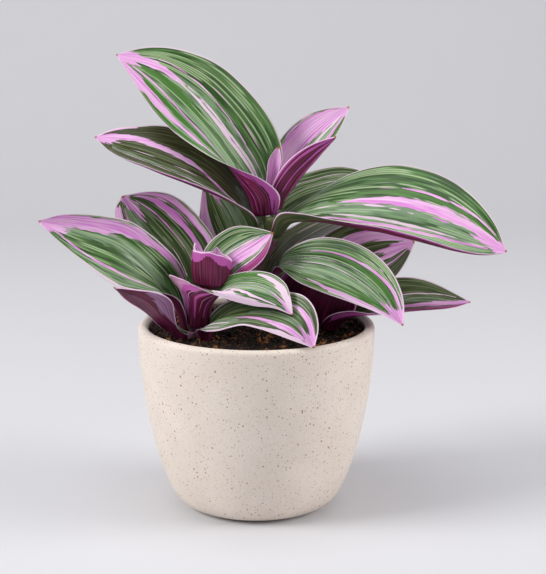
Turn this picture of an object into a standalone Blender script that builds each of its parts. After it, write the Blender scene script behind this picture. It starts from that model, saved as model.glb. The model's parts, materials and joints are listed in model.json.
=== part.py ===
"""A potted tradescantia: a stoneware pot, its potting soil, the stems that stand in the soil and the leaves on
the stems. Lengths are written in millimetres and scaled to metres when a mesh is made. The origin is the centre
of the pot's flat base, +Z is up and the plant is seen from -Y."""

import math
from dataclasses import dataclass

import bmesh
import bpy
from mathutils import Vector, noise

MM = 0.001
GAP = 0.3  # clearance between neighbouring pieces

# Pot: a round stoneware bowl that narrows to a flat foot
POT_HEIGHT = 95.0
POT_RADIUS = 60.0
FOOT_RADIUS = 31.0
WALL = 5.0
FLOOR = 7.0
POT_SIDES = 48

# Soil
SOIL_DEPTH_BELOW_RIM = 5.0
SOIL_BUMP = 1.1
SOIL_TOP = POT_HEIGHT - SOIL_DEPTH_BELOW_RIM

# Leaves
LEAF_RINGS = 10
LEAF_COLUMNS = 6  # strips across a blade; the underside has one more, for the keel
LEAF_THICKNESS = 1.3
KEEL = 0.12  # half-width of the midrib's keel, as a share of half the blade
# How far a half with its own edge keeps to the midrib's plane before it bends to that edge, as a share of the
# straight distance, at the base, near the middle and at the tip
BELLY = (0.95, 0.5, 0.5)
STEM_SIDES = 12

COLOURS = {
    "stoneware": ((0.80, 0.74, 0.68), 0.55),
    "soil": ((0.06, 0.035, 0.02), 0.95),
    "stem": ((0.20, 0.16, 0.12), 0.45),
    "leaf": ((0.16, 0.30, 0.10), 0.40),
    "young_leaf": ((0.45, 0.08, 0.28), 0.40),
}


@dataclass
class Leaf:
    """One leaf. `spine` runs along the midrib from the stem to the tip. `faces` says which way the upper side
    looks at the base, near the middle and at the tip. Left and right are those of someone who looks from the
    base to the tip along the upper side.

    A half without an edge of its own is an arc: the two curls say how far it turns up from the midrib to the
    margin, in degrees, at the base, near the middle and at the tip. A half whose edge is given bends from the
    midrib to that edge, and it may reach round the stem. Its sag is how far it hangs on the way, as a share of
    the distance to the edge."""

    name: str
    spine: list
    faces: list
    width: float = 40.0
    neck: float = 14.0
    widest: float = 0.42
    fullness: float = 1.4
    left: tuple = (80, 25, 15)
    right: tuple = (80, 25, 15)
    left_edge: tuple = ()
    right_edge: tuple = ()
    left_sag: tuple = (0, 0, 0)
    right_sag: tuple = (0, 0, 0)
    colour: str = "leaf"


@dataclass
class Stem:
    """One stem, thick at its foot and swollen at each node, where its leaves are joined."""

    name: str
    path: list
    foot_radius: float
    top_radius: float
    nodes: tuple = ()


STEMS = [
    Stem(
        "main_stem",
        [(-2, 8, 60.5), (-1, 7, 93.5), (1, 5, 120.5), (5, 4, 140.5), (6, 3, 148)],
        4.2,
        2.8,
        (0.66, 0.9),
    ),
    Stem(
        "left_stem",
        [(-30, -12, 62.5), (-30, -12, 90.5), (-30, -11, 103.5), (-28, -10, 114.5)],
        3.6,
        2.6,
        (0.55, 0.8),
    ),
    Stem("right_stem", [(34, 3, 64.5), (34, 2, 90.5), (33, 1, 101.5)], 3.2, 2.4, (0.7,)),
]

LEAVES = [
    Leaf(
        "leaf_top_left",
        [
            (1.5, 7, 149.5), (0, 8, 159.5), (-9, 9, 175.5), (-26, 10, 198.5),
            (-47, 12, 217.5), (-70.5, 17, 229),
        ],
        [(0.75, -0.65, 0), (0.4, -0.8, 0.45), (0.3, -0.8, 0.5)],
        left_edge=(
            (10.5, 0.5, 150.5), (12, -4, 157.5), (10, -8, 164.5), (3, -10, 169.5),
            (-10, -10, 175.5), (-25, -6, 182.5), (-44, 2, 194.5), (-58, 9, 210.5),
        ),
        right_edge=(
            (10, 7, 151.5), (11.5, 8, 164.5), (13, 9, 176.5),
            (12, 11, 187.5), (1, 14, 205.5), (-18, 18, 223.5),
            (-39, 20, 231.5), (-56, 19, 232.5),
        ),
    ),
    Leaf(
        "leaf_left",
        [
            (-0.5, 4, 142.5), (-3, 3, 150.5), (-10, 0, 159.5), (-24, 0, 171.5), (-39, 0, 179.5),
            (-57, 0, 185.5), (-80.5, 2, 189.5),
        ],
        [(1, 0, 0.1), (0.3, -0.62, 0.72), (0.2, -0.6, 0.75)],
        left_edge=(
            (2, -1.5, 143.5), (0, -4, 148.5), (-3, -7, 153.5),
            (-16, -12, 161.5), (-33, -14, 169.5), (-52, -13, 176.5),
            (-70, -6, 181.5),
        ),
        right_edge=(
            (3, 9.5, 143.5), (1, 11, 153.5), (-8, 13, 169.5),
            (-24, 14, 185.5), (-44, 12, 193.5), (-62, 9, 193.5),
            (-73, 5, 192.5),
        ),
        left_sag=(0, 0.5, 0.6),
    ),
    Leaf(
        "leaf_right",
        [
            (11, 3, 139.5), (15, 1, 146.5), (27, -4, 152.5), (47, -10, 155.5), (72, -16, 155),
            (98, -22, 148.5), (123, -25, 136.5),
        ],
        [(-1, 0, 0.1), (-0.1, -0.65, 0.75), (0.25, -0.62, 0.72)],
        left_edge=(
            (6, 8.5, 140.5), (13, 9, 148.5), (18, 10, 152.5), (27, 12, 157.5),
            (40, 14, 165.5), (54, 13, 171.5), (72, 9, 174.5),
            (92, 3, 170.5), (106, -6, 162.5), (116, -16, 152.5),
        ),
        right_edge=(
            (6.5, -1.5, 139.5), (9, -4, 147.5), (12, -7, 152.5),
            (22, -14, 153.5), (39, -22, 151.5), (58, -29, 149.5),
            (77, -34, 145.5), (96, -35, 140.5), (110, -32, 137.5),
        ),
        right_sag=(0, 0.6, 0.6),
    ),
    Leaf(
        "leaf_right_back",
        [(9.2, 13.3, 145.5), (14.5, 19, 149), (27, 25, 155), (50, 33, 159), (76, 41, 153.5)],
        [(-0.4, -0.9, 0.1), (-0.2, -0.6, 0.8), (0, -0.5, 0.85)],
        width=30,
        neck=12,
    ),
    Leaf(
        "leaf_top_pink",
        [(13, 12.5, 159.5), (15, 15.5, 168), (21, 19, 178.5), (31.5, 20, 190), (47, 20, 202.5)],
        [(-0.4, -0.9, 0), (-0.35, -0.85, 0.4), (-0.2, -0.85, 0.5)],
        width=24,
        neck=9,
        left=(60, 20, 10),
        right=(90, 20, 10),
        colour="young_leaf",
    ),
    Leaf(
        "leaf_top_folded",
        [(11, 1, 153.5), (13, 0, 159.5), (19.5, -2, 170.5), (28.6, -5, 180.5), (39.5, -6, 191)],
        [(-0.6, 0.8, 0), (-0.5, 0.75, 0.45), (-0.3, 0.6, 0.7)],
        width=17,
        neck=13,
        left=(100, 60, 40),
        right=(100, 60, 40),
        colour="young_leaf",
    ),
    Leaf(
        "leaf_top_bud",
        [(7.5, 4.5, 155.5), (9, 4, 168.5), (11, 3, 184.5)],
        [(-0.3, -1, 0), (-0.3, -1, 0.1), (-0.3, -1, 0.1)],
        width=12,
        neck=8,
        left=(150, 120, 60),
        right=(150, 120, 60),
        colour="young_leaf",
    ),
    Leaf(
        "leaf_behind_stem",
        [(-4.7, 10, 116.5), (-6, 13, 124.5), (-11, 18.5, 138.5), (-18, 23, 151.5), (-27, 26, 163.5)],
        [(0.6, -0.8, 0), (0.1, -0.85, 0.5), (0.1, -0.85, 0.5)],
        width=36,
        neck=10,
    ),
    Leaf(
        "leaf_right_front",
        [
            (9, 1, 119), (12, -3, 125.5), (22, -12, 128.5), (38, -22, 127.5),
            (56, -33, 118.5), (71.5, -41, 103),
        ],
        [(-0.75, -0.1, 0.6), (0.1, -0.62, 0.78), (0.45, -0.65, 0.6)],
        left_edge=(
            (8.5, 6, 120.5), (12, 4.5, 126.5), (16, 1, 131.5),
            (20, -3, 135.5), (32, -8, 140.5), (44, -14, 140.5),
            (54, -20, 137.5), (63, -27, 131.5), (69, -33, 123.5), (72, -39, 114.5),
        ),
        right_edge=(
            (7, -3.5, 118.5), (9, -7, 124.5), (13, -11.5, 124.5),
            (19, -17, 120.5), (31, -24, 116.5), (44, -32, 113.5),
            (58, -39, 109.5),
        ),
    ),
    Leaf(
        "leaf_right_arching",
        [(7, 10.5, 115.5), (11.5, 15, 121.5), (24, 24.5, 132.5), (46, 41.5, 139.5), (70, 54, 136.5)],
        [(-0.6, -0.7, 0.1), (-0.1, 0, 1), (0.1, 0, 1)],
        width=32,
    ),
    Leaf(
        "leaf_left_low_side",
        [
            (-39, -19.5, 92), (-41, -23, 98), (-46, -28, 105.5), (-52, -33, 113.5),
            (-60, -37, 118.5), (-69, -39, 122),
        ],
        [(0.75, 0.65, 0.2), (0.45, 0.65, 0.6), (0.3, 0.6, 0.75)],
        left_edge=(
            (-31, -18.5, 93), (-30, -21, 96), (-36, -25, 96), (-41, -28, 101.5), (-43.5, -31.5, 111.5),
            (-48, -36, 116.8), (-57, -39.5, 120),
        ),
        right_edge=((-42, -16, 92.5), (-48, -17.5, 97.5), (-53, -21, 103.5), (-61, -27, 110.5), (-66, -33, 116.5)),
    ),
    Leaf(
        "leaf_front_funnel",
        [
            (-25, -17, 97.5), (-24, -20, 106.5), (-20, -26, 114.5), (-11, -32, 120.5), (1, -37, 121.5),
            (11, -42, 117.5), (18, -46.5, 109.5),
        ],
        [(-0.75, 0.65, 0), (-0.3, -0.3, 0.9), (0.5, -0.5, 0.7)],
        left_edge=(
            (-25, -10, 98.5), (-23.5, -15, 108.5), (-20, -22, 119.5),
            (-9, -24, 125.5), (5, -29, 127.5), (14, -36, 123.5),
            (17, -42, 116.5),
        ),
        right_edge=(
            (-34.5, -12.5, 98.5), (-35.5, -18.5, 108.5), (-38.5, -21.5, 117.5), (-43.5, -24, 125.5),
            (-34, -30, 122.5), (-20, -36, 117.5), (-4, -41, 113.5),
            (10, -45, 112.5),
        ),
    ),
    Leaf(
        "leaf_far_left",
        [
            (-36, -12, 95.5), (-38, -14, 103.5), (-44, -20, 115.5), (-55, -26, 128.5),
            (-71, -31, 141.5), (-105, -34, 153.5),
        ],
        [(1, 0, 0.1), (0.25, -0.62, 0.74), (0.2, -0.7, 0.7)],
        left_edge=(
            (-34.5, -17, 94.5), (-35, -20.5, 103.5), (-38, -25, 112.5),
            (-47, -31, 117.5), (-58, -36, 119.5), (-69, -40, 123.5),
            (-82, -42, 134.5), (-94, -40, 144.5),
        ),
        right_edge=(
            (-34, -8.5, 96.5), (-34, -9, 108.5), (-35, -12, 121.5),
            (-40, -15, 131.5), (-50, -20, 142.5), (-61, -25, 151.5),
            (-78, -30, 155.5), (-93, -34, 156.5),
        ),
        left_sag=(0, 0.1, 0.8),
    ),
    Leaf(
        "leaf_left_upright",
        [(-32, -4.5, 102.5), (-34, 0, 112.5), (-41, 3, 128.5), (-54, 8, 143.5), (-68, 9, 158.5)],
        [(0.3, -0.95, 0), (0.25, -0.85, 0.5), (0.1, -0.9, 0.4)],
        left_edge=((-36, -6, 101.5), (-48, -2, 112.5), (-63, 2, 129.5), (-70.5, 6, 143.5), (-71.5, 8, 152.5)),
        width=44,
        neck=18,
        fullness=2.0,
    ),
    Leaf(
        "leaf_middle",
        [(-24.5, -9, 110.5), (-20, -8, 118.5), (-12, -10, 127.5), (-1, -14, 136.5), (8.5, -16, 144.5)],
        [(-0.9, -0.3, 0.2), (-0.15, -0.75, 0.65), (0.1, -0.75, 0.65)],
        width=34,
        neck=12,
        right=(80, 60, 30),
    ),
    Leaf(
        "leaf_rolled_bud",
        [(-30, -16, 117.5), (-31.5, -17.5, 124.5), (-32, -19, 131.5), (-31.5, -20, 139.5)],
        [(1, 0, 0.1), (1, 0, 0.1), (1, 0, 0.1)],
        width=58,
        neck=28,
        widest=0.7,
        fullness=1.8,
        left=(160, 165, 160),
        right=(160, 165, 160),
        colour="young_leaf",
    ),
    Leaf(
        "leaf_front_low",
        [
            (-25, -20, 90.5), (-24, -24, 97.5), (-17, -30, 104.5), (-5, -36, 108.5), (8, -42, 109.5),
            (19, -49, 106.5), (28, -55.5, 95.5),
        ],
        [(-0.6, 0.75, 0.2), (0.05, -0.35, 0.93), (0.5, -0.5, 0.7)],
        left_edge=(
            (-23, -17, 91.5), (-24, -19, 100.5), (-18, -22, 107.5),
            (-5, -27, 113.5), (8, -33, 115.5), (18, -40, 116.5),
            (25, -47, 113.5), (29, -53, 105.5),
        ),
        right_edge=(
            (-27, -21, 91.5), (-29, -26, 98.5), (-23, -32, 97.5),
            (-15, -37, 100.5), (-6, -42, 103.5), (7, -48, 101.5),
            (19, -54, 98.5),
        ),
    ),
    Leaf(
        "leaf_right_low",
        [(39.3, -0.4, 91.6), (43, -3.3, 96.8), (56, -6, 103.5), (80, -3, 108), (109, 2, 105)],
        [(-1, 0.2, 0.1), (0, -0.6, 0.8), (0, -0.5, 0.85)],
        width=28,
        neck=22,
        left=(90, 20, 10),
        right=(110, 50, 20),
    ),
    Leaf(
        "leaf_right_shaded",
        [(32.5, -4, 95.5), (34, -7, 102.5), (38, -11, 111.5), (44, -15, 119.5)],
        [(0, 1, 0), (0.1, 0.9, 0.3), (0.1, 0.9, 0.3)],
        width=30,
        colour="young_leaf",
    ),
    Leaf(
        "leaf_right_upright",
        [(34, 10.3, 98.5), (37, 16, 108.5), (53, 22, 122), (82, 27, 131.5)],
        [(-0.3, -0.9, 0), (-0.2, -0.8, 0.55), (-0.1, -0.8, 0.55)],
        width=43,
        neck=14,
    ),
    Leaf(
        "leaf_back_left",
        [(-7, 12, 94.5), (-11, 18, 102.5), (-23, 32, 113.5), (-39, 48, 119.5), (-58, 62, 113.5)],
        [(0.6, -0.8, 0.1), (0.2, -0.3, 0.95), (-0.1, -0.1, 1)],
        width=36,
        neck=8,
    ),
    Leaf(
        "leaf_back",
        [(-1, 11, 106.5), (0, 16, 113.5), (3, 36, 122.5), (6, 60, 124.5), (6, 84, 115.5)],
        [(0, -1, 0), (0, -0.3, 0.95), (0, 0.1, 1)],
        width=32,
        neck=8,
    ),
    Leaf(
        "leaf_back_right",
        [(4, 14, 95.5), (8, 20, 103.5), (20, 37, 111.5), (36, 58, 113.5), (52, 76, 104.5)],
        [(-0.6, -0.8, 0.1), (-0.2, -0.3, 0.95), (0.1, 0, 1)],
        width=36,
        neck=8,
    ),
]


def mix(a, b, share):
    return a + (b - a) * share


def smooth(share):
    share = min(1.0, max(0.0, share))
    return share * share * (3 - 2 * share)


def at_three(values, middle, along):
    """A value that changes smoothly from the base through the middle to the tip."""
    base, half, tip = values
    if along < middle:
        return mix(base, half, smooth(along / middle))
    return mix(half, tip, smooth((along - middle) / (1 - middle)))


def curve_through(points, count):
    """`count` + 1 points at even distances on the smooth curve through the given points."""
    points = [Vector(p) for p in points]
    ends = [2 * points[0] - points[1], *points, 2 * points[-1] - points[-2]]
    steps = 16
    dense = []
    for before, start, end, after in zip(ends, ends[1:], ends[2:], ends[3:]):
        for step in range(steps):
            t = step / steps
            bend = (2 * before - 5 * start + 4 * end - after) * t * t
            twist = (3 * start - before - 3 * end + after) * t * t * t
            dense.append(0.5 * (2 * start + (end - before) * t + bend + twist))
    dense.append(points[-1])
    lengths = [0.0]
    for a, b in zip(dense, dense[1:]):
        lengths.append(lengths[-1] + (b - a).length)
    found = []
    at = 0
    for k in range(count + 1):
        wanted = lengths[-1] * k / count
        while at < len(dense) - 2 and lengths[at + 1] < wanted:
            at += 1
        found.append(dense[at].lerp(dense[at + 1], (wanted - lengths[at]) / (lengths[at + 1] - lengths[at])))
    return found


def directions(points):
    """The direction of travel at each point of a curve."""
    ends = [points[0], *points, points[-1]]
    return [(after - before).normalized() for before, after in zip(ends, ends[2:])]


def new_object(name, mesh_builder, colour):
    """An object from a bmesh in millimetres, with its material."""
    bmesh.ops.scale(mesh_builder, vec=(MM, MM, MM), verts=mesh_builder.verts)
    bmesh.ops.recalc_face_normals(mesh_builder, faces=mesh_builder.faces)
    mesh = bpy.data.meshes.new(name)
    mesh_builder.to_mesh(mesh)
    mesh_builder.free()
    mesh.materials.append(bpy.data.materials[colour])
    mesh.shade_smooth()
    thing = bpy.data.objects.new(name, mesh)
    bpy.context.scene.collection.objects.link(thing)
    return thing


def skin(builder, rings, start, end, slants=()):
    """Faces between rings of points, closed with a fan at each end. With `slants`, each face is split into two
    triangles along one diagonal, rising for a positive slant and falling for a negative one."""
    rows = [[builder.verts.new(p) for p in ring] for ring in rings]
    for row, following in zip(rows, rows[1:]):
        for i in range(len(row)):
            j = (i + 1) % len(row)
            if not slants:
                builder.faces.new((row[i], row[j], following[j], following[i]))
            elif slants[i] > 0:
                builder.faces.new((row[i], row[j], following[j]))
                builder.faces.new((row[i], following[j], following[i]))
            else:
                builder.faces.new((row[i], row[j], following[i]))
                builder.faces.new((row[j], following[j], following[i]))
    for row, point in ((rows[0], start), (rows[-1], end)):
        pole = builder.verts.new(point)
        for i in range(len(row)):
            builder.faces.new((row[i], row[(i + 1) % len(row)], pole))


def half_width(leaf, along):
    """Half the blade's flat width: it opens from the neck, is widest at `widest` and ends in a point."""
    if along < leaf.widest:
        return 0.5 * mix(leaf.neck, leaf.width, math.sin(0.5 * math.pi * along / leaf.widest))
    return 0.5 * leaf.width * math.cos(0.5 * math.pi * ((along - leaf.widest) / (1 - leaf.widest)) ** leaf.fullness)


def across(distance, curl):
    """Sideways and upward shift after a distance along an arc that turns by `curl` degrees."""
    turn = math.radians(curl)
    if turn < 1e-6:
        return distance, 0.0
    radius = distance / turn
    return radius * math.sin(turn), radius * (1 - math.cos(turn))


def arc_half(leaf, frame, side, along):
    """The place and the upward direction at each share of a half that is an arc."""
    point, sideways, upward = frame
    curl = at_three(leaf.right if side > 0 else leaf.left, 0.4, along)
    half = half_width(leaf, along)

    def place(share):
        out, up = across(share * half, curl * share)
        turn = math.radians(curl) * share
        normal = upward * math.cos(turn) - sideways * side * math.sin(turn)
        return point + sideways * side * out + upward * up, normal

    return place


def edge_half(leaf, edge, frame, side, forward, along):
    """The place and the upward direction at each share of a half that bends to a given edge."""
    point, sideways, upward = frame
    reach = (edge - point).length
    bend = point + sideways * side * reach * at_three(BELLY, 0.35, along)
    bend.z -= reach * at_three(leaf.right_sag if side > 0 else leaf.left_sag, 0.45, along)

    def place(share):
        rest = 1 - share
        where = point * rest * rest + bend * (2 * rest * share) + edge * share * share
        slope = (bend - point) * rest + (edge - bend) * share
        normal = slope.cross(forward) * side
        return where, normal.normalized()

    return place


def leaf_ring(leaf, point, forward, edges, along):
    """One cross-section: the upper side from left to right, then the underside from right to left."""
    facing = at_three([Vector(f).normalized() for f in leaf.faces], 0.45, along)
    upward = (facing - forward * facing.dot(forward)).normalized()
    frame = (point, forward.cross(upward), upward)
    halves = {}
    for side, edge in zip((-1, 1), edges):
        if edge:
            halves[side] = edge_half(leaf, edge, frame, side, forward, along)
        else:
            halves[side] = arc_half(leaf, frame, side, along)
    thickness = LEAF_THICKNESS * (1 - 0.65 * along)
    shares = [2 * i / LEAF_COLUMNS - 1 for i in range(LEAF_COLUMNS + 1)]
    ring = [halves[1 if s > 0 else -1](abs(s))[0] for s in shares]
    inner = [s for s in shares[1:-1] if abs(s) > KEEL]
    for share in sorted([*inner, -KEEL, KEEL], reverse=True):
        where, normal = halves[1 if share > 0 else -1](abs(share))
        ring.append(where - normal * thickness * (1 - 0.75 * abs(share)))
    return ring


def edge_points(edge, tip):
    if not edge:
        return [None] * (LEAF_RINGS + 1)
    return curve_through([*edge, tip], LEAF_RINGS)


def make_leaf(leaf):
    points = curve_through(leaf.spine, LEAF_RINGS)
    travel = directions(points)
    tip = leaf.spine[-1]
    edges = list(zip(edge_points(leaf.left_edge, tip), edge_points(leaf.right_edge, tip)))
    rings = [leaf_ring(leaf, points[k], travel[k], edges[k], k / LEAF_RINGS) for k in range(LEAF_RINGS)]
    centre = sum(rings[0], Vector()) / len(rings[0])
    half = LEAF_COLUMNS // 2
    slants = [-1] * half + [1] * half + [-1] * half + [1] * (half + 1)
    builder = bmesh.new()
    skin(builder, rings, centre - travel[0] * 0.8, points[-1], slants)
    return new_object(leaf.name, builder, leaf.colour)


def stem_rings(stem, extra):
    """Rings along a stem, `extra` wider than it all round."""
    count = 12
    points = curve_through(stem.path, count)
    travel = directions(points)
    rings = []
    for k, (point, forward) in enumerate(zip(points, travel)):
        along = k / count
        swelling = sum(0.6 * math.exp(-(((along - node) / 0.05) ** 2)) for node in stem.nodes)
        radius = mix(stem.foot_radius, stem.top_radius, along) + swelling + extra
        side = forward.cross(Vector((0, 1, 0))).normalized()
        other = forward.cross(side)
        turns = [2 * math.pi * i / STEM_SIDES for i in range(STEM_SIDES)]
        rings.append([point + (side * math.cos(a) + other * math.sin(a)) * radius for a in turns])
    ends = (points[0] - travel[0] * (1 + extra), points[-1] + travel[-1] * (1.5 + extra))
    return rings, ends


def make_stem(stem):
    rings, (start, end) = stem_rings(stem, 0.0)
    builder = bmesh.new()
    skin(builder, rings, start, end)
    return new_object(stem.name, builder, "stem")


def outer_profile():
    """(radius, height) up the pot's outside, from the foot to the lip."""
    rise = POT_HEIGHT - WALL / 2
    profile = [(FOOT_RADIUS, 0.0)]
    steps = 11
    for i in range(1, steps + 1):
        height = rise * (i / steps) ** 2
        profile.append((pot_radius_at(height), height))
    return profile


def pot_radius_at(height):
    """The outside's radius: nearly upright at the rim, and rounding in more and more towards the foot."""
    fall = 1 - height / (POT_HEIGHT - WALL / 2)
    return POT_RADIUS - 17.3 * fall**1.85 - 4.6 * fall**8 - 6.8 * fall**45


def lip_profile():
    """The round lip, from the outside over the top to the inside."""
    turns = [math.pi * i / 6 for i in range(1, 6)]
    centre = POT_RADIUS - WALL / 2
    return [(centre + WALL / 2 * math.cos(a), POT_HEIGHT - WALL / 2 + WALL / 2 * math.sin(a)) for a in turns]


def inner_profile(offset):
    """(radius, height) down the inside, `offset` inside the wall."""
    heights = [POT_HEIGHT - WALL / 2, 80, 60, 40, 24, 13]
    walls = [(pot_radius_at(h) - WALL - offset, h) for h in heights]
    return [*walls, (FOOT_RADIUS - 2 - offset, FLOOR + offset)]


def turned(builder, profile):
    """The surface that a profile sweeps round the Z axis, closed with a fan where it meets the axis."""
    rings = []
    for radius, height in profile:
        turns = [2 * math.pi * i / POT_SIDES for i in range(POT_SIDES)]
        rings.append([Vector((radius * math.cos(a), radius * math.sin(a), height)) for a in turns])
    first, last = profile[0][1], profile[-1][1]
    skin(builder, rings, Vector((0, 0, first)), Vector((0, 0, last)))


def make_pot():
    builder = bmesh.new()
    turned(builder, [*outer_profile(), *lip_profile(), *inner_profile(0.0)])
    return new_object("pot", builder, "stoneware")


def make_soil():
    """The soil fills the pot to just below the rim, and its top is gently uneven."""
    inside = inner_profile(GAP)
    top_radius = inside[0][0]
    top = [(top_radius * share, SOIL_TOP) for share in (0.2, 0.4, 0.6, 0.8, 0.93)]
    wall = [(top_radius - 0.1, SOIL_TOP - 1.0), *inside[1:]]
    builder = bmesh.new()
    turned(builder, [*top, *wall])
    for vertex in builder.verts:
        if vertex.co.z > SOIL_TOP - 0.5:
            vertex.co.z += SOIL_BUMP * noise.noise(vertex.co * 0.07)
    soil = new_object("soil", builder, "soil")
    for stem in STEMS:
        hole = soil.modifiers.new("hole_" + stem.name, "BOOLEAN")
        hole.operation = "DIFFERENCE"
        hole.solver = "EXACT"
        hole.object = stem_hole(stem)
    return soil


def stem_hole(stem):
    """The cutter for the hole that a stem stands in, a little wider than the stem."""
    rings, (start, end) = stem_rings(stem, GAP)
    builder = bmesh.new()
    skin(builder, rings, start, end)
    cutter = new_object("cutter_" + stem.name, builder, "soil")
    cutter.hide_render = True
    cutter.display_type = "WIRE"
    return cutter


def make_materials():
    for name, (colour, roughness) in COLOURS.items():
        material = bpy.data.materials.new(name)
        material.use_nodes = True
        shader = material.node_tree.nodes["Principled BSDF"]
        shader.inputs["Base Color"].default_value = (*colour, 1)
        shader.inputs["Roughness"].default_value = roughness
        shader.inputs["Metallic"].default_value = 0.0


def clear_scene():
    for thing in list(bpy.data.objects):
        bpy.data.objects.remove(thing)


def main():
    clear_scene()
    make_materials()
    make_pot()
    make_soil()
    for stem in STEMS:
        make_stem(stem)
    for leaf in LEAVES:
        make_leaf(leaf)


main()
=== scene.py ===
"""A potted tradescantia: the fine model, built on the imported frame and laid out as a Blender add-on that is run
as a script. The frame is in metres; sizes whose names or units say mm are in millimetres. Left and right on a
leaf are those of someone who looks from its base to its tip along the upper side."""

import json
import math
import random
from dataclasses import dataclass

import bmesh
import bpy
import numpy as np
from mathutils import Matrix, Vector, noise


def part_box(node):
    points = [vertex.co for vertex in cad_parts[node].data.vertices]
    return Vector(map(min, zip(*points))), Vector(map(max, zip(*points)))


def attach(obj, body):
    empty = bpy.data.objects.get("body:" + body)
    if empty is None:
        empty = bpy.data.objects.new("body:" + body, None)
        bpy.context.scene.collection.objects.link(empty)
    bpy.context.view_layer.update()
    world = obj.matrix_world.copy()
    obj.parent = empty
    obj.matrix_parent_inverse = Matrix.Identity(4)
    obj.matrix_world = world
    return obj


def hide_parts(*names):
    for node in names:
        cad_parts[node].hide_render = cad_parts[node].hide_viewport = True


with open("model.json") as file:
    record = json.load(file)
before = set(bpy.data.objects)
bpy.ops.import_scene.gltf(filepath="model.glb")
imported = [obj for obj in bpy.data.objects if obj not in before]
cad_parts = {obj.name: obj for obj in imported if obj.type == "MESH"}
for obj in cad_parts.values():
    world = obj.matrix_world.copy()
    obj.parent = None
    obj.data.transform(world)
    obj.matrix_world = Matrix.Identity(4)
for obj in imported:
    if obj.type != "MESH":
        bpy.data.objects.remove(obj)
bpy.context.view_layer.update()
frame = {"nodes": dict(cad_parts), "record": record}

bl_info = {
    "name": "Potted tradescantia",
    "version": (1, 0, 0),
    "blender": (4, 5, 0),
    "location": "View3D > Sidebar > Tradescantia",
    "description": "A striped tradescantia in a speckled stoneware pot",
    "category": "Add Mesh",
}

MM = 0.001
TOP_POINTS = 7  # points across the upper side of a leaf in the frame
LEAF_SIDES = 13  # points round a leaf's cross-section in the frame
LAST_JOINT = 137 * MM  # height of the main stem's last joint
# How far each stem bends aside under its last joint.
STEM_BENDS_MM = {"left_stem": 0.0, "main_stem": 3.6, "right_stem": 0.0}


# ---------------------------------------------------------------- sizes and colours


def linear(code):
    """The linear colour of an sRGB hex code."""
    shares = [int(code[i : i + 2], 16) / 255 for i in (1, 3, 5)]
    return tuple(s / 12.92 if s <= 0.04045 else ((s + 0.055) / 1.055) ** 2.4 for s in shares)


def colour_setting(name, code, description):
    return bpy.props.FloatVectorProperty(
        name=name, description=description, default=linear(code), subtype="COLOR", size=3, min=0, max=1
    )


def mm_setting(name, value, description):
    return bpy.props.FloatProperty(name=name, description=description, default=value, min=0)


class PlantSizes(bpy.types.PropertyGroup):
    """Sizes in millimetres, and counts."""

    blade_mm: mm_setting("Blade thickness", 0.55, "Thickness of a leaf beside the midrib, in mm")
    keel_mm: mm_setting("Midrib thickness", 0.9, "Extra thickness of the midrib under a leaf, in mm")
    wave_mm: mm_setting("Waviness", 0.35, "Height of the slow waves along a leaf, in mm")
    rib_mm: mm_setting("Vein height", 0.07, "Height of the veins on a leaf, in mm")
    veins: bpy.props.IntProperty(name="Veins", description="Fine veins across a leaf", default=44, min=8)
    rows: bpy.props.IntProperty(name="Rows", description="Mesh rows along a leaf", default=80, min=20)
    columns: bpy.props.IntProperty(name="Columns", description="Mesh columns across a leaf", default=66, min=12)


class PotSizes(bpy.types.PropertyGroup):
    """Sizes in millimetres of the pot, and how many crumbs lie on its soil."""

    wall_mm: mm_setting("Wall", 5.0, "Thickness of the pot's wall, in mm")
    floor_mm: mm_setting("Floor", 7.0, "Thickness of the pot's floor, in mm")
    foot_mm: mm_setting("Foot radius", 31.0, "Radius of the flat foot, in mm")
    speck_mm: mm_setting("Speck spacing", 1.9, "Spacing of the brown specks in the clay, in mm")
    crumbs: bpy.props.IntProperty(name="Crumbs", description="Loose crumbs on the soil", default=3400, min=0)


class PlantColours(bpy.types.PropertyGroup):
    """Colours of the plant, the pot and the soil."""

    green: colour_setting("Green", "#4b7a34", "Upper side of a leaf")
    deep_green: colour_setting("Deep green", "#294a1f", "Darker streaks of the upper side")
    vein_green: colour_setting("Vein green", "#b4cd9c", "Fine veins on the green")
    # painted shade: the dark olive brown towards which leaves lying in shadow are darkened
    shade_olive: colour_setting("Olive", "#41371f", "Older, shaded leaves")
    silver: colour_setting("Silver", "#a3bd9e", "Silvery zones")
    pink: colour_setting("Pink", "#de88d8", "Pink stripes")
    light_pink: colour_setting("Light pink", "#f4c6ee", "Lighter streaks in the pink")
    pale: colour_setting("Pale", "#f2d9ea", "Near-white stripes and margins")
    purple: colour_setting("Purple", "#7c1c42", "Underside of a leaf")
    maroon: colour_setting("Maroon", "#380922", "Darker streaks of the underside")
    magenta: colour_setting("Magenta", "#c45fb4", "Bright streaks of the underside")
    tip: colour_setting("Dry tip", "#a9622f", "The last millimetre of a leaf")
    clay: colour_setting("Clay", "#efe3d8", "Unglazed stoneware")
    speck: colour_setting("Speck", "#93592f", "Iron specks in the clay")
    soil: colour_setting("Soil", "#120a06", "Damp coir")
    crumb: colour_setting("Crumb", "#b4743f", "Dry crumbs of coir and bark")
    stem_purple: colour_setting("Stem purple", "#8c4a6e", "Stem")
    stem_green: colour_setting("Stem green", "#6a7a45", "Stem beside its joints")
    backdrop: colour_setting("Backdrop", "#dcdce0", "Studio paper")


# ---------------------------------------------------------------- what each leaf looks like

# A stripe is a kind and its stations from base to tip. A station is a place along the leaf, a place across it
# from the left margin to the right and a half-width, all as shares of the leaf. Before its first and after its
# last station a stripe frays out.


@dataclass
class Look:
    upper: list
    under: tuple = ()
    shade_olive: float = 0.0  # how far the green is darkened to olive brown: painted shade on a leaf that lies in shadow
    spread: tuple = (1.0, 1.0)  # how much wider than its CAD solid the left and the right half are drawn


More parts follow.
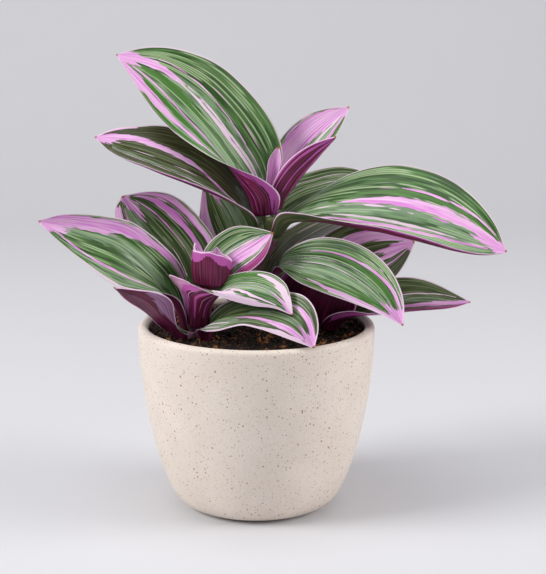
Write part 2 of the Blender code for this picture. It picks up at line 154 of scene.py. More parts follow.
def pale_veins(first, last, count, start=0.1, end=0.95, kind="pale"):
    """Thin light lines that run side by side along a leaf."""
    places = [first + (last - first) * (i + 0.5) / count for i in range(count)]
    return [(kind, (start, v, 0.003), (0.5 * (start + end), v, 0.006), (end, v, 0.004)) for v in places]


def tip_pink(start=0.93):
    return ("pink", (start, 0.5, 0.2), (start + 0.03, 0.5, 0.6), (1.0, 0.5, 0.6))


LOOKS = {
    "leaf_top_left": Look(
        upper=[
            ("silver", (0.15, 0.3, 0.2), (0.5, 0.2, 0.2), (0.9, 0.25, 0.14)),
            ("silver", (0.12, 0.58, 0.09), (0.5, 0.58, 0.08), (0.75, 0.6, 0.05)),
            ("pale", (0.15, 0.575, 0.012), (0.45, 0.565, 0.018), (0.72, 0.6, 0.008)),
            ("pale", (0.12, 0.61, 0.01), (0.4, 0.6, 0.014), (0.65, 0.62, 0.006)),
            *pale_veins(0.3, 0.54, 4, 0.08, 0.7, "silver"),
            *pale_veins(0.64, 0.74, 2, 0.1, 0.8, "silver"),
            *pale_veins(0.82, 0.97, 4, 0.08, 0.9, "silver"),
            ("moss", (0.2, 0.44, 0.012), (0.5, 0.45, 0.02), (0.7, 0.48, 0.045), (0.92, 0.5, 0.06)),
            ("moss", (0.3, 0.2, 0.012), (0.6, 0.22, 0.03), (0.9, 0.27, 0.05)),
            ("moss", (0.35, 0.05, 0.01), (0.6, 0.05, 0.02), (0.85, 0.06, 0.02)),
            ("pink", (0.25, 0.28, 0.008), (0.6, 0.29, 0.014), (0.9, 0.36, 0.02)),
            ("pink", (0.35, 0.13, 0.012), (0.6, 0.13, 0.03), (0.8, 0.13, 0.07), (1.0, 0.2, 0.2)),
            ("pink", (0.16, 0.655, 0.006), (0.5, 0.7, 0.008), (0.82, 0.76, 0.008)),
            ("pink", (0.2, 0.765, 0.004), (0.58, 0.79, 0.005)),
            ("pink", (0.66, 0.6, 0.01), (0.8, 0.63, 0.06), (0.9, 0.68, 0.12), (1.0, 0.7, 0.3)),
            tip_pink(0.94),
        ],
        under=[
            ("magenta", (0.0, 0.0, 0.05), (0.3, 0.0, 0.09), (1.0, 0.0, 0.05)),
            *[("magenta", (0.02, v, 0.006), (0.5, v, 0.008)) for v in (0.13, 0.2, 0.28, 0.36)],
        ],
    ),
    "leaf_left": Look(
        upper=[
            ("silver", (0.1, 0.3, 0.04), (0.5, 0.33, 0.02), (0.9, 0.34, 0.02)),
            *pale_veins(0.06, 0.34, 4, 0.1, 0.9),
            ("silver", (0.0, 0.7, 0.3), (0.14, 0.7, 0.2)),
            ("pink", (0.2, 0.36, 0.012), (0.4, 0.47, 0.022), (0.65, 0.56, 0.04), (0.85, 0.66, 0.1), (1.0, 0.66, 0.2)),
            ("pale", (0.22, 0.375, 0.004), (0.6, 0.4, 0.004), (0.9, 0.42, 0.004)),
            ("pink", (0.8, 0.97, 0.02), (1.0, 0.95, 0.06)),
            tip_pink(0.95),
        ],
        under=[
            ("moss", (0.0, 0.5, 0.5), (0.12, 0.3, 0.3), (0.22, 0.06, 0.1)),
            ("magenta", (0.1, 0.02, 0.015), (0.9, 0.02, 0.03)),
        ],
        shade_olive=0.8,
    ),
    "leaf_right": Look(
        upper=[
            ("silver", (0.12, 0.46, 0.05), (0.4, 0.55, 0.13), (0.92, 0.58, 0.16)),
            ("silver", (0.4, 0.85, 0.12), (0.9, 0.85, 0.12)),
            *pale_veins(0.04, 0.24, 4, 0.1, 0.8, "silver"),
            *pale_veins(0.66, 0.96, 5, 0.12, 0.9, "silver"),
            ("pale", (0.12, 0.46, 0.006), (0.4, 0.46, 0.008), (0.6, 0.5, 0.004)),
            ("pale", (0.2, 0.56, 0.006), (0.5, 0.6, 0.012), (0.9, 0.62, 0.006)),
            ("pink", (0.22, 0.62, 0.012), (0.5, 0.655, 0.018), (0.92, 0.64, 0.014)),
            ("moss", (0.5, 0.31, 0.01), (0.7, 0.29, 0.02), (0.92, 0.24, 0.02)),
            ("pink", (0.45, 0.275, 0.004), (0.7, 0.24, 0.012), (0.93, 0.16, 0.02)),
            ("pink", (0.28, 0.42, 0.006), (0.5, 0.41, 0.04), (0.75, 0.4, 0.075), (0.93, 0.38, 0.12), (1.0, 0.4, 0.3)),
            tip_pink(0.945),
        ],
        under=[
            ("moss", (0.0, 0.5, 0.5), (0.12, 0.7, 0.32), (0.2, 0.95, 0.1), (0.32, 0.98, 0.04)),
            ("magenta", (0.4, 0.98, 0.015), (0.9, 0.98, 0.03)),
        ],
    ),
    "leaf_right_back": Look(upper=pale_veins(0.1, 0.9, 6), shade_olive=0.3),
    "leaf_top_pink": Look(
        upper=[
            ("pink", (0.1, 0.3, 0.15), (0.5, 0.28, 0.22), (1.0, 0.4, 0.35)),
            ("pale", (0.4, 0.66, 0.02), (0.9, 0.62, 0.03)),
            ("silver", (0.2, 0.72, 0.12), (0.85, 0.68, 0.1)),
            ("pink", (0.5, 0.82, 0.03), (0.9, 0.78, 0.06)),
            tip_pink(0.9),
        ],
        under=[("magenta", (0.1, 0.1, 0.1), (0.9, 0.1, 0.2))],
    ),
    "leaf_top_folded": Look(
        upper=[("pink", (0.1, 0.8, 0.1), (1.0, 0.8, 0.25))],
        under=[
            ("magenta", (0.1, 0.35, 0.02), (0.5, 0.33, 0.05), (0.9, 0.4, 0.1)),
            ("magenta", (0.2, 0.62, 0.012), (0.6, 0.6, 0.02), (0.95, 0.6, 0.06)),
            ("magenta", (0.15, 0.85, 0.012), (0.6, 0.84, 0.03), (0.95, 0.8, 0.08)),
            ("magenta", (0.1, 0.0, 0.06), (0.95, 0.0, 0.1)),
            ("magenta", (0.1, 1.0, 0.05), (0.95, 1.0, 0.08)),
        ],
    ),
    "leaf_top_bud": Look(
        upper=[("pink", (0.1, 0.5, 0.5), (1.0, 0.5, 0.5))],
        under=[("magenta", (0.0, 0.2, 0.3), (1.0, 0.2, 0.35)), ("pale", (0.1, 0.9, 0.03), (1.0, 0.85, 0.06))],
    ),
    "leaf_behind_stem": Look(
        upper=[
            ("pink", (0.3, 0.1, 0.06), (0.9, 0.1, 0.1)),
            ("pink", (0.4, 0.2, 0.006), (0.9, 0.2, 0.012)),
            ("pale", (0.3, 0.45, 0.004), (0.9, 0.45, 0.006)),
            ("silver", (0.3, 0.6, 0.1), (0.9, 0.55, 0.1)),
            tip_pink(0.93),
        ],
        shade_olive=0.55,
    ),
    "leaf_right_front": Look(
        upper=[
            ("silver", (0.05, 0.55, 0.26), (0.4, 0.55, 0.2), (0.85, 0.5, 0.12)),
            *pale_veins(0.05, 0.95, 11, 0.1, 0.85, "silver"),
            *[("pale", (0.08, 0.5, 0.004), (0.3, v, 0.007), (0.75, v, 0.002)) for v in (0.36, 0.47, 0.55, 0.66)],
            ("moss", (0.3, 0.27, 0.012), (0.6, 0.28, 0.02), (0.88, 0.25, 0.03)),
            ("moss", (0.3, 0.8, 0.02), (0.6, 0.8, 0.03), (0.85, 0.76, 0.03)),
            ("pink", (0.28, 0.235, 0.006), (0.57, 0.22, 0.018), (0.8, 0.16, 0.03), (0.93, 0.15, 0.07)),
            ("pink", (0.6, 0.13, 0.004), (0.9, 0.05, 0.008)),
            ("pink", (0.34, 0.86, 0.006), (0.55, 0.93, 0.035), (0.8, 0.93, 0.06), (1.0, 0.9, 0.2)),
            ("pale", (0.5, 0.95, 0.01), (0.9, 0.95, 0.02)),
            tip_pink(0.9),
        ],
        under=[("magenta", (0.1, 0.98, 0.02), (0.9, 0.98, 0.02))],
    ),
    "leaf_right_arching": Look(upper=pale_veins(0.15, 0.5, 3), shade_olive=0.85),
    "leaf_left_low_side": Look(
        upper=[("silver", (0.1, 0.3, 0.2), (0.9, 0.3, 0.2))],
        under=[
            ("pale", (0.0, 0.1, 0.14), (0.2, 0.2, 0.1), (0.28, 0.1, 0.05)),
            ("lilac", (0.25, 0.15, 0.14), (0.5, 0.2, 0.2), (0.75, 0.12, 0.12)),
            ("magenta", (0.2, 0.0, 0.02), (0.9, 0.0, 0.02)),
            ("magenta", (0.2, 1.0, 0.03), (0.9, 1.0, 0.04)),
            *[("magenta", (0.2, v, 0.003), (0.9, v, 0.005)) for v in (0.45, 0.57, 0.68, 0.8)],
        ],
        shade_olive=0.6,
        spread=(1.5, 1.0),
    ),
    "leaf_front_funnel": Look(
        upper=[
            ("silver", (0.2, 0.4, 0.2), (0.6, 0.45, 0.16), (0.9, 0.5, 0.1)),
            *pale_veins(0.25, 0.6, 4, 0.3, 0.9),
            ("moss", (0.35, 0.08, 0.05), (0.6, 0.12, 0.05), (0.7, 0.1, 0.02)),
            ("moss", (0.3, 0.25, 0.015), (0.6, 0.33, 0.02), (0.85, 0.42, 0.02)),
            ("pale", (0.42, 0.5, 0.01), (0.5, 0.6, 0.03), (0.7, 0.75, 0.028), (0.88, 0.8, 0.025)),
            ("moss", (0.42, 0.52, 0.01), (0.62, 0.78, 0.016), (0.85, 0.86, 0.012)),
            ("pale", (0.38, 0.6, 0.1), (0.5, 0.75, 0.12), (0.62, 0.92, 0.1), (1.0, 0.95, 0.08)),
            ("pale", (0.6, 0.1, 0.02), (0.75, 0.16, 0.08), (0.85, 0.22, 0.14), (1.0, 0.25, 0.3)),
            ("pink", (0.62, 0.13, 0.004), (0.9, 0.22, 0.03), (1.0, 0.3, 0.1)),
            tip_pink(0.93),
        ],
        under=[
            *[("pale", (0.12, v, 0.002), (0.3, v, 0.006), (0.5, v, 0.004)) for v in (0.15, 0.32, 0.5, 0.68, 0.83)],
            *[("magenta", (0.08, v, 0.008), (0.35, v, 0.02), (0.6, v, 0.012)) for v in (0.24, 0.42, 0.6, 0.76)],
            ("magenta", (0.1, 1.0, 0.12), (0.35, 1.0, 0.17), (0.5, 1.0, 0.1)),
            ("pale", (0.1, 1.0, 0.05), (0.3, 1.0, 0.09), (0.46, 1.0, 0.06)),
            ("magenta", (0.1, 0.0, 0.03), (0.9, 0.0, 0.02)),
        ],
    ),
    "leaf_far_left": Look(
        upper=[
            ("silver", (0.25, 0.12, 0.08), (0.6, 0.12, 0.08), (0.9, 0.2, 0.1)),
            ("silver", (0.3, 0.55, 0.1), (0.6, 0.58, 0.1), (0.85, 0.5, 0.05)),
            ("moss", (0.7, 0.08, 0.03), (0.92, 0.2, 0.04)),
            ("pink", (0.3, 0.2, 0.014), (0.68, 0.22, 0.02), (0.82, 0.3, 0.02), (0.97, 0.46, 0.02)),
            ("pink", (0.22, 0.94, 0.03), (0.45, 0.92, 0.05), (0.6, 0.85, 0.11), (0.75, 0.8, 0.16), (1.0, 0.75, 0.25)),
            ("moss", (0.25, 0.975, 0.006), (0.6, 0.975, 0.006)),
            ("pale", (0.2, 0.02, 0.015), (1.0, 0.02, 0.03)),
            tip_pink(0.93),
        ],
        under=[
            ("lilac", (0.5, 0.0, 0.1), (1.0, 0.0, 0.3)),
            ("magenta", (0.1, 0.0, 0.02), (1.0, 0.0, 0.05)),
        ],
        shade_olive=0.05,
    ),
    "leaf_left_upright": Look(
        upper=[
            ("pale", (0.25, 0.53, 0.004), (0.9, 0.54, 0.006)),
            ("pink", (0.3, 0.655, 0.006), (0.9, 0.66, 0.01)),
            ("pink", (0.25, 0.79, 0.03), (0.6, 0.8, 0.04), (0.93, 0.83, 0.04)),
            ("pink", (0.25, 0.93, 0.03), (0.6, 0.93, 0.035), (0.95, 0.93, 0.04)),
            ("pink", (0.6, 0.2, 0.008), (0.9, 0.25, 0.012)),
            ("pink", (0.5, 0.06, 0.03), (0.9, 0.1, 0.07)),
            ("silver", (0.3, 0.35, 0.1), (0.9, 0.38, 0.1)),
            tip_pink(0.95),
        ],
        shade_olive=0.45,
    ),
    "leaf_middle": Look(
        upper=[
            ("silver", (0.35, 0.3, 0.05), (0.9, 0.32, 0.05)),
            ("pale", (0.4, 0.33, 0.012), (0.85, 0.34, 0.012)),
            ("pink", (0.25, 0.47, 0.06), (0.6, 0.48, 0.12), (0.95, 0.5, 0.16)),
            ("moss", (0.3, 0.6, 0.02), (0.8, 0.6, 0.02)),
            ("pale", (0.1, 0.68, 0.015), (1.0, 0.68, 0.015)),
            ("purple", (0.0, 0.86, 0.16), (1.0, 0.86, 0.16)),
        ],
    ),
    "leaf_front_low": Look(
        upper=[
            ("silver", (0.05, 0.75, 0.25), (0.25, 0.75, 0.2), (0.4, 0.8, 0.06)),
            ("pale", (0.1, 0.72, 0.02), (0.2, 0.76, 0.02), (0.36, 0.82, 0.008)),
            ("pale", (0.1, 0.86, 0.02), (0.2, 0.88, 0.015), (0.3, 0.9, 0.006)),
            ("pink", (0.38, 0.69, 0.01), (0.5, 0.73, 0.03), (0.7, 0.8, 0.055), (0.9, 0.8, 0.1)),
            ("pink", (0.68, 0.2, 0.01), (0.8, 0.2, 0.05), (1.0, 0.22, 0.14)),
            ("pale", (0.2, 0.97, 0.02), (0.6, 0.97, 0.02), (1.0, 0.93, 0.1)),
            ("silver", (0.5, 0.5, 0.08), (0.9, 0.5, 0.08)),
            tip_pink(0.92),
        ],
        under=[("magenta", (0.1, 0.98, 0.02), (0.9, 0.98, 0.02))],
        shade_olive=0.4,
        spread=(1.35, 1.0),
    ),
    "leaf_right_low": Look(
        upper=[
            ("pale", (0.4, 0.4, 0.008), (0.7, 0.37, 0.014), (0.9, 0.26, 0.014)),
            ("silver", (0.4, 0.5, 0.08), (0.9, 0.5, 0.08)),
            ("pink", (0.3, 0.7, 0.03), (0.7, 0.68, 0.06), (1.0, 0.6, 0.2)),
            ("purple", (0.2, 0.9, 0.1), (1.0, 0.9, 0.1)),
            tip_pink(0.95),
        ],
        under=[("magenta", (0.1, 0.9, 0.05), (0.9, 0.9, 0.08))],
        shade_olive=0.6,
    ),
    "leaf_right_shaded": Look(
        upper=pale_veins(0.1, 0.9, 4),
        under=[("magenta", (0.2, 0.0, 0.03), (1.0, 0.0, 0.05)), ("magenta", (0.2, 1.0, 0.03), (1.0, 1.0, 0.05))],
        shade_olive=0.8,
        spread=(1.0, 1.8),
    ),
    "leaf_right_upright": Look(
        upper=[
            ("pink", (0.4, 0.2, 0.06), (0.7, 0.22, 0.08), (0.95, 0.25, 0.08)),
            ("pink", (0.4, 0.48, 0.006), (0.95, 0.46, 0.02)),
            ("pink", (0.5, 0.62, 0.02), (0.95, 0.58, 0.05)),
            ("pink", (0.5, 0.73, 0.006), (0.95, 0.72, 0.02)),
            tip_pink(0.92),
        ],
        shade_olive=0.7,
    ),
    "leaf_back_left": Look(
        upper=[("pink", (0.2, 0.35, 0.02), (1.0, 0.45, 0.12)), ("silver", (0.1, 0.7, 0.1), (0.9, 0.7, 0.12))],
        shade_olive=0.2,
    ),
    "leaf_back": Look(
        upper=[("pink", (0.3, 0.6, 0.02), (1.0, 0.5, 0.14)), ("silver", (0.1, 0.25, 0.1), (0.9, 0.3, 0.1))],
        shade_olive=0.15,
    ),
    "leaf_back_right": Look(
        upper=[
            ("pink", (0.2, 0.8, 0.03), (0.8, 0.8, 0.08), (1.0, 0.6, 0.2)),
            ("pink", (0.3, 0.4, 0.006), (0.9, 0.42, 0.02)),
            ("silver", (0.1, 0.55, 0.1), (0.9, 0.6, 0.12)),
        ],
        shade_olive=0.2,
    ),
}


# ---------------------------------------------------------------- shapes read from the frame


def welded(node):
    """A mesh of a CAD node in which the doubled points of its flat faces are one."""
    mesh = bmesh.new()
    mesh.from_mesh(frame["nodes"][node].data)
    bmesh.ops.remove_doubles(mesh, verts=mesh.verts, dist=0.0001 * MM)
    mesh.verts.index_update()
    return mesh


def walked(ring):
    """The points of a ring in order round it."""
    row = [min(ring, key=lambda v: v.index)]
    while len(row) < len(ring):
        beside = [edge.other_vert(row[-1]) for edge in row[-1].link_edges]
        row.append(min((v for v in beside if v in ring and v not in row), key=lambda v: v.index))
    return [v.co.copy() for v in row]


def centre(points):
    return sum(points, Vector()) / len(points)


def rings_of(node):
    """The cross-sections of a leaf from its base to its tip, and the tip."""
    mesh = welded(node)
    ends = sorted(mesh.verts, key=lambda v: len(v.link_edges))[-2:]
    base, tip = sorted(ends, key=lambda v: (v.co - centre([e.other_vert(v).co for e in v.link_edges])).length)
    rings = []
    front, seen = {base}, {base}
    while tip not in front:
        front = {edge.other_vert(v) for v in front for edge in v.link_edges} - seen
        seen |= front
        if tip not in front:
            rings.append(walked(front))
    return rings, tip.co.copy()


def corner(ring, place):
    """The angle of a ring at one of its points."""
    here = ring[place % len(ring)]
    before, after = ring[(place - 1) % len(ring)], ring[(place + 1) % len(ring)]
    return (before - here).angle(after - here)


def blade_rows(node):
    """The upper side of a leaf: a row of points from margin to margin for each cross-section, and the tip."""
    rings, tip = rings_of(node)
    centres = [centre(ring) for ring in rings] + [tip]
    rows = []
    for ring, here, ahead in zip(rings, centres, centres[1:]):
        start = min(range(LEAF_SIDES), key=lambda s: corner(ring, s) + corner(ring, s + TOP_POINTS - 1))
        ring = ring[start:] + ring[:start]
        upper, under = ring[:TOP_POINTS], ring[TOP_POINTS:]
        upward = upper[3] - centre(under[2:4])
        if (ahead - here).cross(upward).dot(upper[4] - upper[2]) < 0:
            upper.reverse()
        rows.append(upper)
    return rows, tip


def smooth_through(points, count):
    """`count` + 1 points on a smooth curve through the given points, which may themselves be rows of points."""
    before, after = 2 * points[:1] - points[1:2], 2 * points[-1:] - points[-2:-1]
    held = np.concatenate([before, points, after])
    place = np.linspace(0, len(points) - 1, count + 1)
    stretch = np.minimum(place.astype(int), len(points) - 2)
    t = (place - stretch).reshape(-1, *[1] * (points.ndim - 1))
    a, b, c, d = (held[stretch + k] for k in range(4))
    return 0.5 * (2 * b + (c - a) * t + (2 * a - 5 * b + 4 * c - d) * t**2 + (3 * b - a - 3 * c + d) * t**3)


# ---------------------------------------------------------------- meshes and pieces


def grid_faces(rows, columns, first=0, rings=False):
    """The faces between the points of a grid, each row of which may close to a ring."""
    faces = []
    for i in range(rows - 1):
        for j in range(columns if rings else columns - 1):
            a, b = (first + i * columns + k % columns for k in (j, j + 1))
            faces.append((a, b, b + columns, a + columns))
    return faces


def turned(faces):
    return [face[::-1] for face in faces]


def border(rows, columns, first, end):
    """The points round a sheet in order: its first row, its last column, its end and its first column."""
    left, right = ([first + i * columns + j for i in range(1, rows)] for j in (0, columns - 1))
    return [*range(first, first + columns), *right, *end, *left[::-1]]


def rim_faces(upper, under):
    """The narrow faces between the borders of two sheets. A point that both share makes a triangle."""
    corners = zip(upper, under, under[1:] + under[:1], upper[1:] + upper[:1])
    return [tuple(dict.fromkeys(face)) for face in corners]


def circle(radius, height, sides):
    turns = [2 * math.pi * i / sides for i in range(sides)]
    return [(radius * math.cos(turn), radius * math.sin(turn), height) for turn in turns]


def outside_out(mesh):
    """Turns all faces of a closed mesh outwards."""
    shape = bmesh.new()
    shape.from_mesh(mesh)
    bmesh.ops.recalc_face_normals(shape, faces=shape.faces)
    shape.to_mesh(mesh)
    shape.free()


def piece(name, mesh, node, slot, *materials):
    """Places a mesh as the visible piece for a CAD node."""
    thing = bpy.data.objects.new(name, mesh)
    bpy.context.collection.objects.link(thing)
    for material in materials:
        mesh.materials.append(material)
    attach(thing, "root")
    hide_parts(node)
    return thing


def slot_of(node):
    return next(s["material_slot"] for s in frame["record"]["subparts"] if s["node"] == node)


def write_attribute(mesh, name, values):
    """Stores a vector or a number for each point of a mesh."""
    kind = "FLOAT_VECTOR" if values.ndim == 2 else "FLOAT"
    attribute = mesh.attributes.new(name, kind, "POINT")
    attribute.data.foreach_set("vector" if values.ndim == 2 else "value", values.ravel().astype(np.float32))


def write_blade_map(mesh, places):
    """Stores the place on the blade: how far from the tip, in units of 100 mm, and the share across it."""
    loops = np.empty(len(mesh.loops), np.int32)
    mesh.loops.foreach_get("vertex_index", loops)
    layer = mesh.uv_layers.new(name="blade")
    layer.data.foreach_set("uv", places[loops].ravel().astype(np.float32))


# ---------------------------------------------------------------- leaves


def unit(vectors):
    return vectors / np.maximum(np.linalg.norm(vectors, axis=-1, keepdims=True), 1e-12)


def blade_width(grid):
    """The width of a leaf at each of its rows, in metres."""
    return np.linalg.norm(np.diff(grid, axis=1), axis=2).sum(axis=1)[:, None]


def blade_steps(grid):
    """The length of the midrib between each row and the next, in metres."""
    return np.linalg.norm(np.diff(grid[:, grid.shape[1] // 2], axis=0), axis=1)


def blade_places(grid):
    """How far each row is from base to tip and each column from margin to margin, as shares."""
    return np.linspace(0, 1, grid.shape[0])[:, None], np.linspace(0, 1, grid.shape[1])[None, :]


def blade_grid(node, sizes):
    """The points of a leaf's upper side, row by row from base to tip, and the upward direction at each."""
    rows, tip = blade_rows(node)
    coarse = np.array([[tuple(p) for p in row] for row in rows] + [[tuple(tip)] * TOP_POINTS])
    half = TOP_POINTS // 2
    midrib = coarse[:, half, None]
    swell = np.sin(np.linspace(0, math.pi, len(coarse)))[:, None, None] ** 0.5
    factor = np.repeat(LOOKS[node].spread, [half, TOP_POINTS - half])[None, :, None]
    coarse = midrib + (coarse - midrib) * (1 + (factor - 1) * swell)
    along = smooth_through(coarse, sizes.rows)
    grid = smooth_through(along.transpose(1, 0, 2), sizes.columns).transpose(1, 0, 2)
    upward = unit(np.cross(np.gradient(grid, axis=1), np.gradient(grid, axis=0)))
    upward[-1] = upward[-2]
    return grid, upward


def blade_relief(grid, sizes, number):
    """How far the veins, the groove over the midrib and slow waves lift each point, in metres."""
    u, v = blade_places(grid)
    width = blade_width(grid)
    veins = sizes.rib_mm * MM * np.cos(2 * math.pi * (grid.shape[1] // 4) * v)
    groove = -0.3 * MM * np.exp(-(((v - 0.5) * width / (1.1 * MM)) ** 2))
    waves = np.array([[noise.noise((3.2 * a, 1.6 * b, 7.3 * number)) for b in v[0]] for a in u[:, 0]])
    waves = sizes.wave_mm * MM * waves * (0.35 + np.abs(2 * v - 1))
    return (veins + groove + 2 * waves) * np.minimum(1, width / (12 * MM))


def stripe_depth(stripe, u, v, width, length):
    """How deep inside a stripe each point lies, as a multiple of how far the stripe's edge strays."""
    kind = stripe[0]
    stations = np.array(stripe[1:])
    middle = np.interp(u, stations[:, 0], stations[:, 1])[:, None]
    half = np.interp(u, stations[:, 0], stations[:, 2])[:, None]
    depth = (half - np.abs(v - middle)) * width
    beyond = np.maximum(stations[0, 0] - u, u - stations[-1, 0]).clip(0)[:, None]
    stray = np.clip(half * width * (1.2 if kind == "silver" else 0.7), 0.1, 2.2)
    return (depth - 0.5 * beyond * length) / stray


# The channel that holds each kind of stripe. Magenta and lilac lie on the underside, where pink and silver don't.
CHANNELS = {"pink": 0, "magenta": 0, "pale": 1, "silver": 2, "lilac": 2, "moss": 3, "purple": 4}
MARGIN_CHANNEL = 5
DEEPEST = 9.0


def stripe_fields(stripes, grid):
    """For every point, how deep it lies in the stripes of each channel, and how far it is from the margin in mm."""
    u, v = blade_places(grid)
    width, length = blade_width(grid) / MM, blade_steps(grid).sum() / MM
    fields = np.full((*grid.shape[:2], MARGIN_CHANNEL + 1), -DEEPEST)
    for stripe in stripes:
        channel = CHANNELS[stripe[0]]
        depth = stripe_depth(stripe, u[:, 0], v, width, length)
        fields[..., channel] = np.maximum(fields[..., channel], depth)
    fields[..., MARGIN_CHANNEL] = np.minimum(v, 1 - v) * width + 6 * (0.1 - u).clip(0)
    return fields.clip(-DEEPEST, DEEPEST)


def sheet_faces(rows, columns, first, tip):
    """The faces of a grid of points that ends in one point at the tip."""
    last = first + (rows - 1) * columns
    return grid_faces(rows, columns, first) + [(a, a + 1, tip) for a in range(last, last + columns - 1)]


def joined(upper, lower):
    """The values for a leaf's points: those of the upper side, the tip, and those of the underside."""
    shape = (-1, *upper.shape[2:])
    tip = upper[-1, upper.shape[1] // 2][None]
    return np.concatenate([upper[:-1].reshape(shape), tip, lower[:-1].reshape(shape)])


def make_leaf(node, number, sizes, materials):
    """A leaf: a thin sheet over its CAD solid, with its relief, the keel of its midrib and its stripes."""
    look = LOOKS[node]
    grid, upward = blade_grid(node, sizes)
    rows, columns = grid.shape[0] - 1, grid.shape[1]
    u, v = blade_places(grid)
    upper = grid + upward * blade_relief(grid, sizes, number)[..., None]
    keel = sizes.keel_mm * (1 - 0.85 * u) * np.exp(-(((v - 0.5) * blade_width(grid) / (1.3 * MM)) ** 2))
    thickness = (sizes.blade_mm * (1 - 0.75 * np.abs(2 * v - 1) ** 3) + keel) * MM
    under = upper - upward * thickness[..., None]
    tip, first_under = rows * columns, rows * columns + 1
    faces = sheet_faces(rows, columns, 0, tip)
    faces += rim_faces(border(rows, columns, 0, [tip]), border(rows, columns, first_under, [tip]))
    count_upper = len(faces)
    faces += turned(sheet_faces(rows, columns, first_under, tip))
    name = node.replace("leaf", "blade")
    mesh = bpy.data.meshes.new(name)
    mesh.from_pydata(joined(upper, under).tolist(), [], faces)
    mesh.polygons.foreach_set("material_index", [0] * count_upper + [1] * (len(faces) - count_upper))
    mesh.shade_smooth()
    fields = joined(stripe_fields(look.upper, grid), stripe_fields(look.under, grid))
    write_attribute(mesh, "paint", fields[:, 0:3])
    write_attribute(mesh, "marks", fields[:, 3:6])
    # painted shade: how far this leaf is darkened as lying in shadow
    write_attribute(mesh, "shade_olive", np.full(len(fields), look.shade_olive))
    to_tip = np.append(np.cumsum(blade_steps(grid)[::-1])[::-1], 0.0) / (100 * MM)
    places = np.stack(np.broadcast_arrays(to_tip[:, None], v * 0.999 + number), axis=-1)
    write_blade_map(mesh, joined(places, places))
    return piece(name, mesh, node, slot_of(node), *materials)


BUD_ROWS, BUD_COLUMNS = 51, 170
BUD_START, BUD_TURN = 205, 410  # where the rolled sheet begins and how far it winds, in degrees
BUD_WALL = 0.07  # thickness of the sheet, as a share of the bud's half-width
RIM_TURNS = [0, 60, 75, 90, 150, 172, 180, 188, 215, 270, 315, 345, 360]
RIM_DROPS_MM = [9.0, 6.4, 3.4, 6.0, 4.8, 2.2, 0.0, 1.6, 2.8, 2.8, 5.4, 8.2, 9.0]


def bud_rim(turn, high):
    """The height of the torn rim: highest at the left, where it ends in a point, and lowest at the right."""
    ragged = 0.5 * noise.noise((2.6 * turn, 0.0, 4.2))
    return high - (np.interp(math.degrees(turn) % 360, RIM_TURNS, RIM_DROPS_MM) + ragged) * MM


def bud_belly(turn, wound, part, rise):
    """The bud's radius as a share of its half-width. `wound` is how far the sheet is wound, `part` how far up
    its own height the point is and `rise` how far up the whole bud."""
    belly = 0.72 + 0.28 * math.sin(math.pi * (0.1 + 0.72 * rise))
    belly *= (0.3 + 0.7 * min(1, 6 * part) ** 0.6) * (1 - 0.12 * wound)
    return belly + 0.02 * noise.noise((5 * turn, 3 * part, 1.7))


def make_bud(node, number, materials):
    """A young leaf that is still rolled up: a sheet wound a little more than once round into an open cup."""
    low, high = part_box(node)
    middle, reach = (low + high) / 2, (high - low) / 2
    outer, inner = np.zeros((2, BUD_ROWS, BUD_COLUMNS, 3))
    depth, share = np.zeros((2, BUD_ROWS, BUD_COLUMNS))
    for j in range(BUD_COLUMNS):
        wound = j / (BUD_COLUMNS - 1)
        turn = math.radians(BUD_START + wound * BUD_TURN)
        rim = bud_rim(turn, high.z)
        for i in range(BUD_ROWS):
            part = i / (BUD_ROWS - 1)
            z = low.z + (rim - low.z) * part
            belly = bud_belly(turn, wound, part, (z - low.z) / (high.z - low.z))
            for grid, factor in ((outer, belly), (inner, belly - BUD_WALL)):
                x = middle.x + factor * 1.06 * reach.x * math.cos(turn)
                grid[i, j] = (x, middle.y + factor * reach.y * math.sin(turn), z)
            depth[i, j] = (rim - z) / MM
            share[i, j] = wound * 3.7 % 0.999
    count = BUD_ROWS * BUD_COLUMNS
    faces = grid_faces(BUD_ROWS, BUD_COLUMNS)
    end = range(count - 2, count - BUD_COLUMNS, -1)
    loop = border(BUD_ROWS, BUD_COLUMNS, 0, end)
    faces += rim_faces(loop, [count + k for k in loop])
    count_outer = len(faces)
    faces += turned(grid_faces(BUD_ROWS, BUD_COLUMNS, count))
    mesh = bpy.data.meshes.new("rolled_blade")
    mesh.from_pydata(np.concatenate([outer, inner]).reshape(-1, 3).tolist(), [], faces)
    mesh.polygons.foreach_set("material_index", [1] * count_outer + [0] * (len(faces) - count_outer))
    outside_out(mesh)
    mesh.shade_smooth()
    depth, share = np.tile(depth.ravel(), 2), np.tile(share.ravel(), 2)
    nothing = np.full_like(depth, -DEEPEST)
    bright = (3.6 + 1.6 * np.sin(9 * share) - depth) / 0.8
    write_attribute(mesh, "paint", np.stack([bright, nothing, nothing], axis=-1))
    write_attribute(mesh, "marks", np.stack([nothing, nothing, depth + 0.1], axis=-1))
    write_attribute(mesh, "shade_olive", np.zeros_like(depth))
    write_blade_map(mesh, np.stack([0.05 + depth / 100, share + number], axis=-1))
    return piece("rolled_blade", mesh, node, slot_of(node), *materials)


# ---------------------------------------------------------------- stems


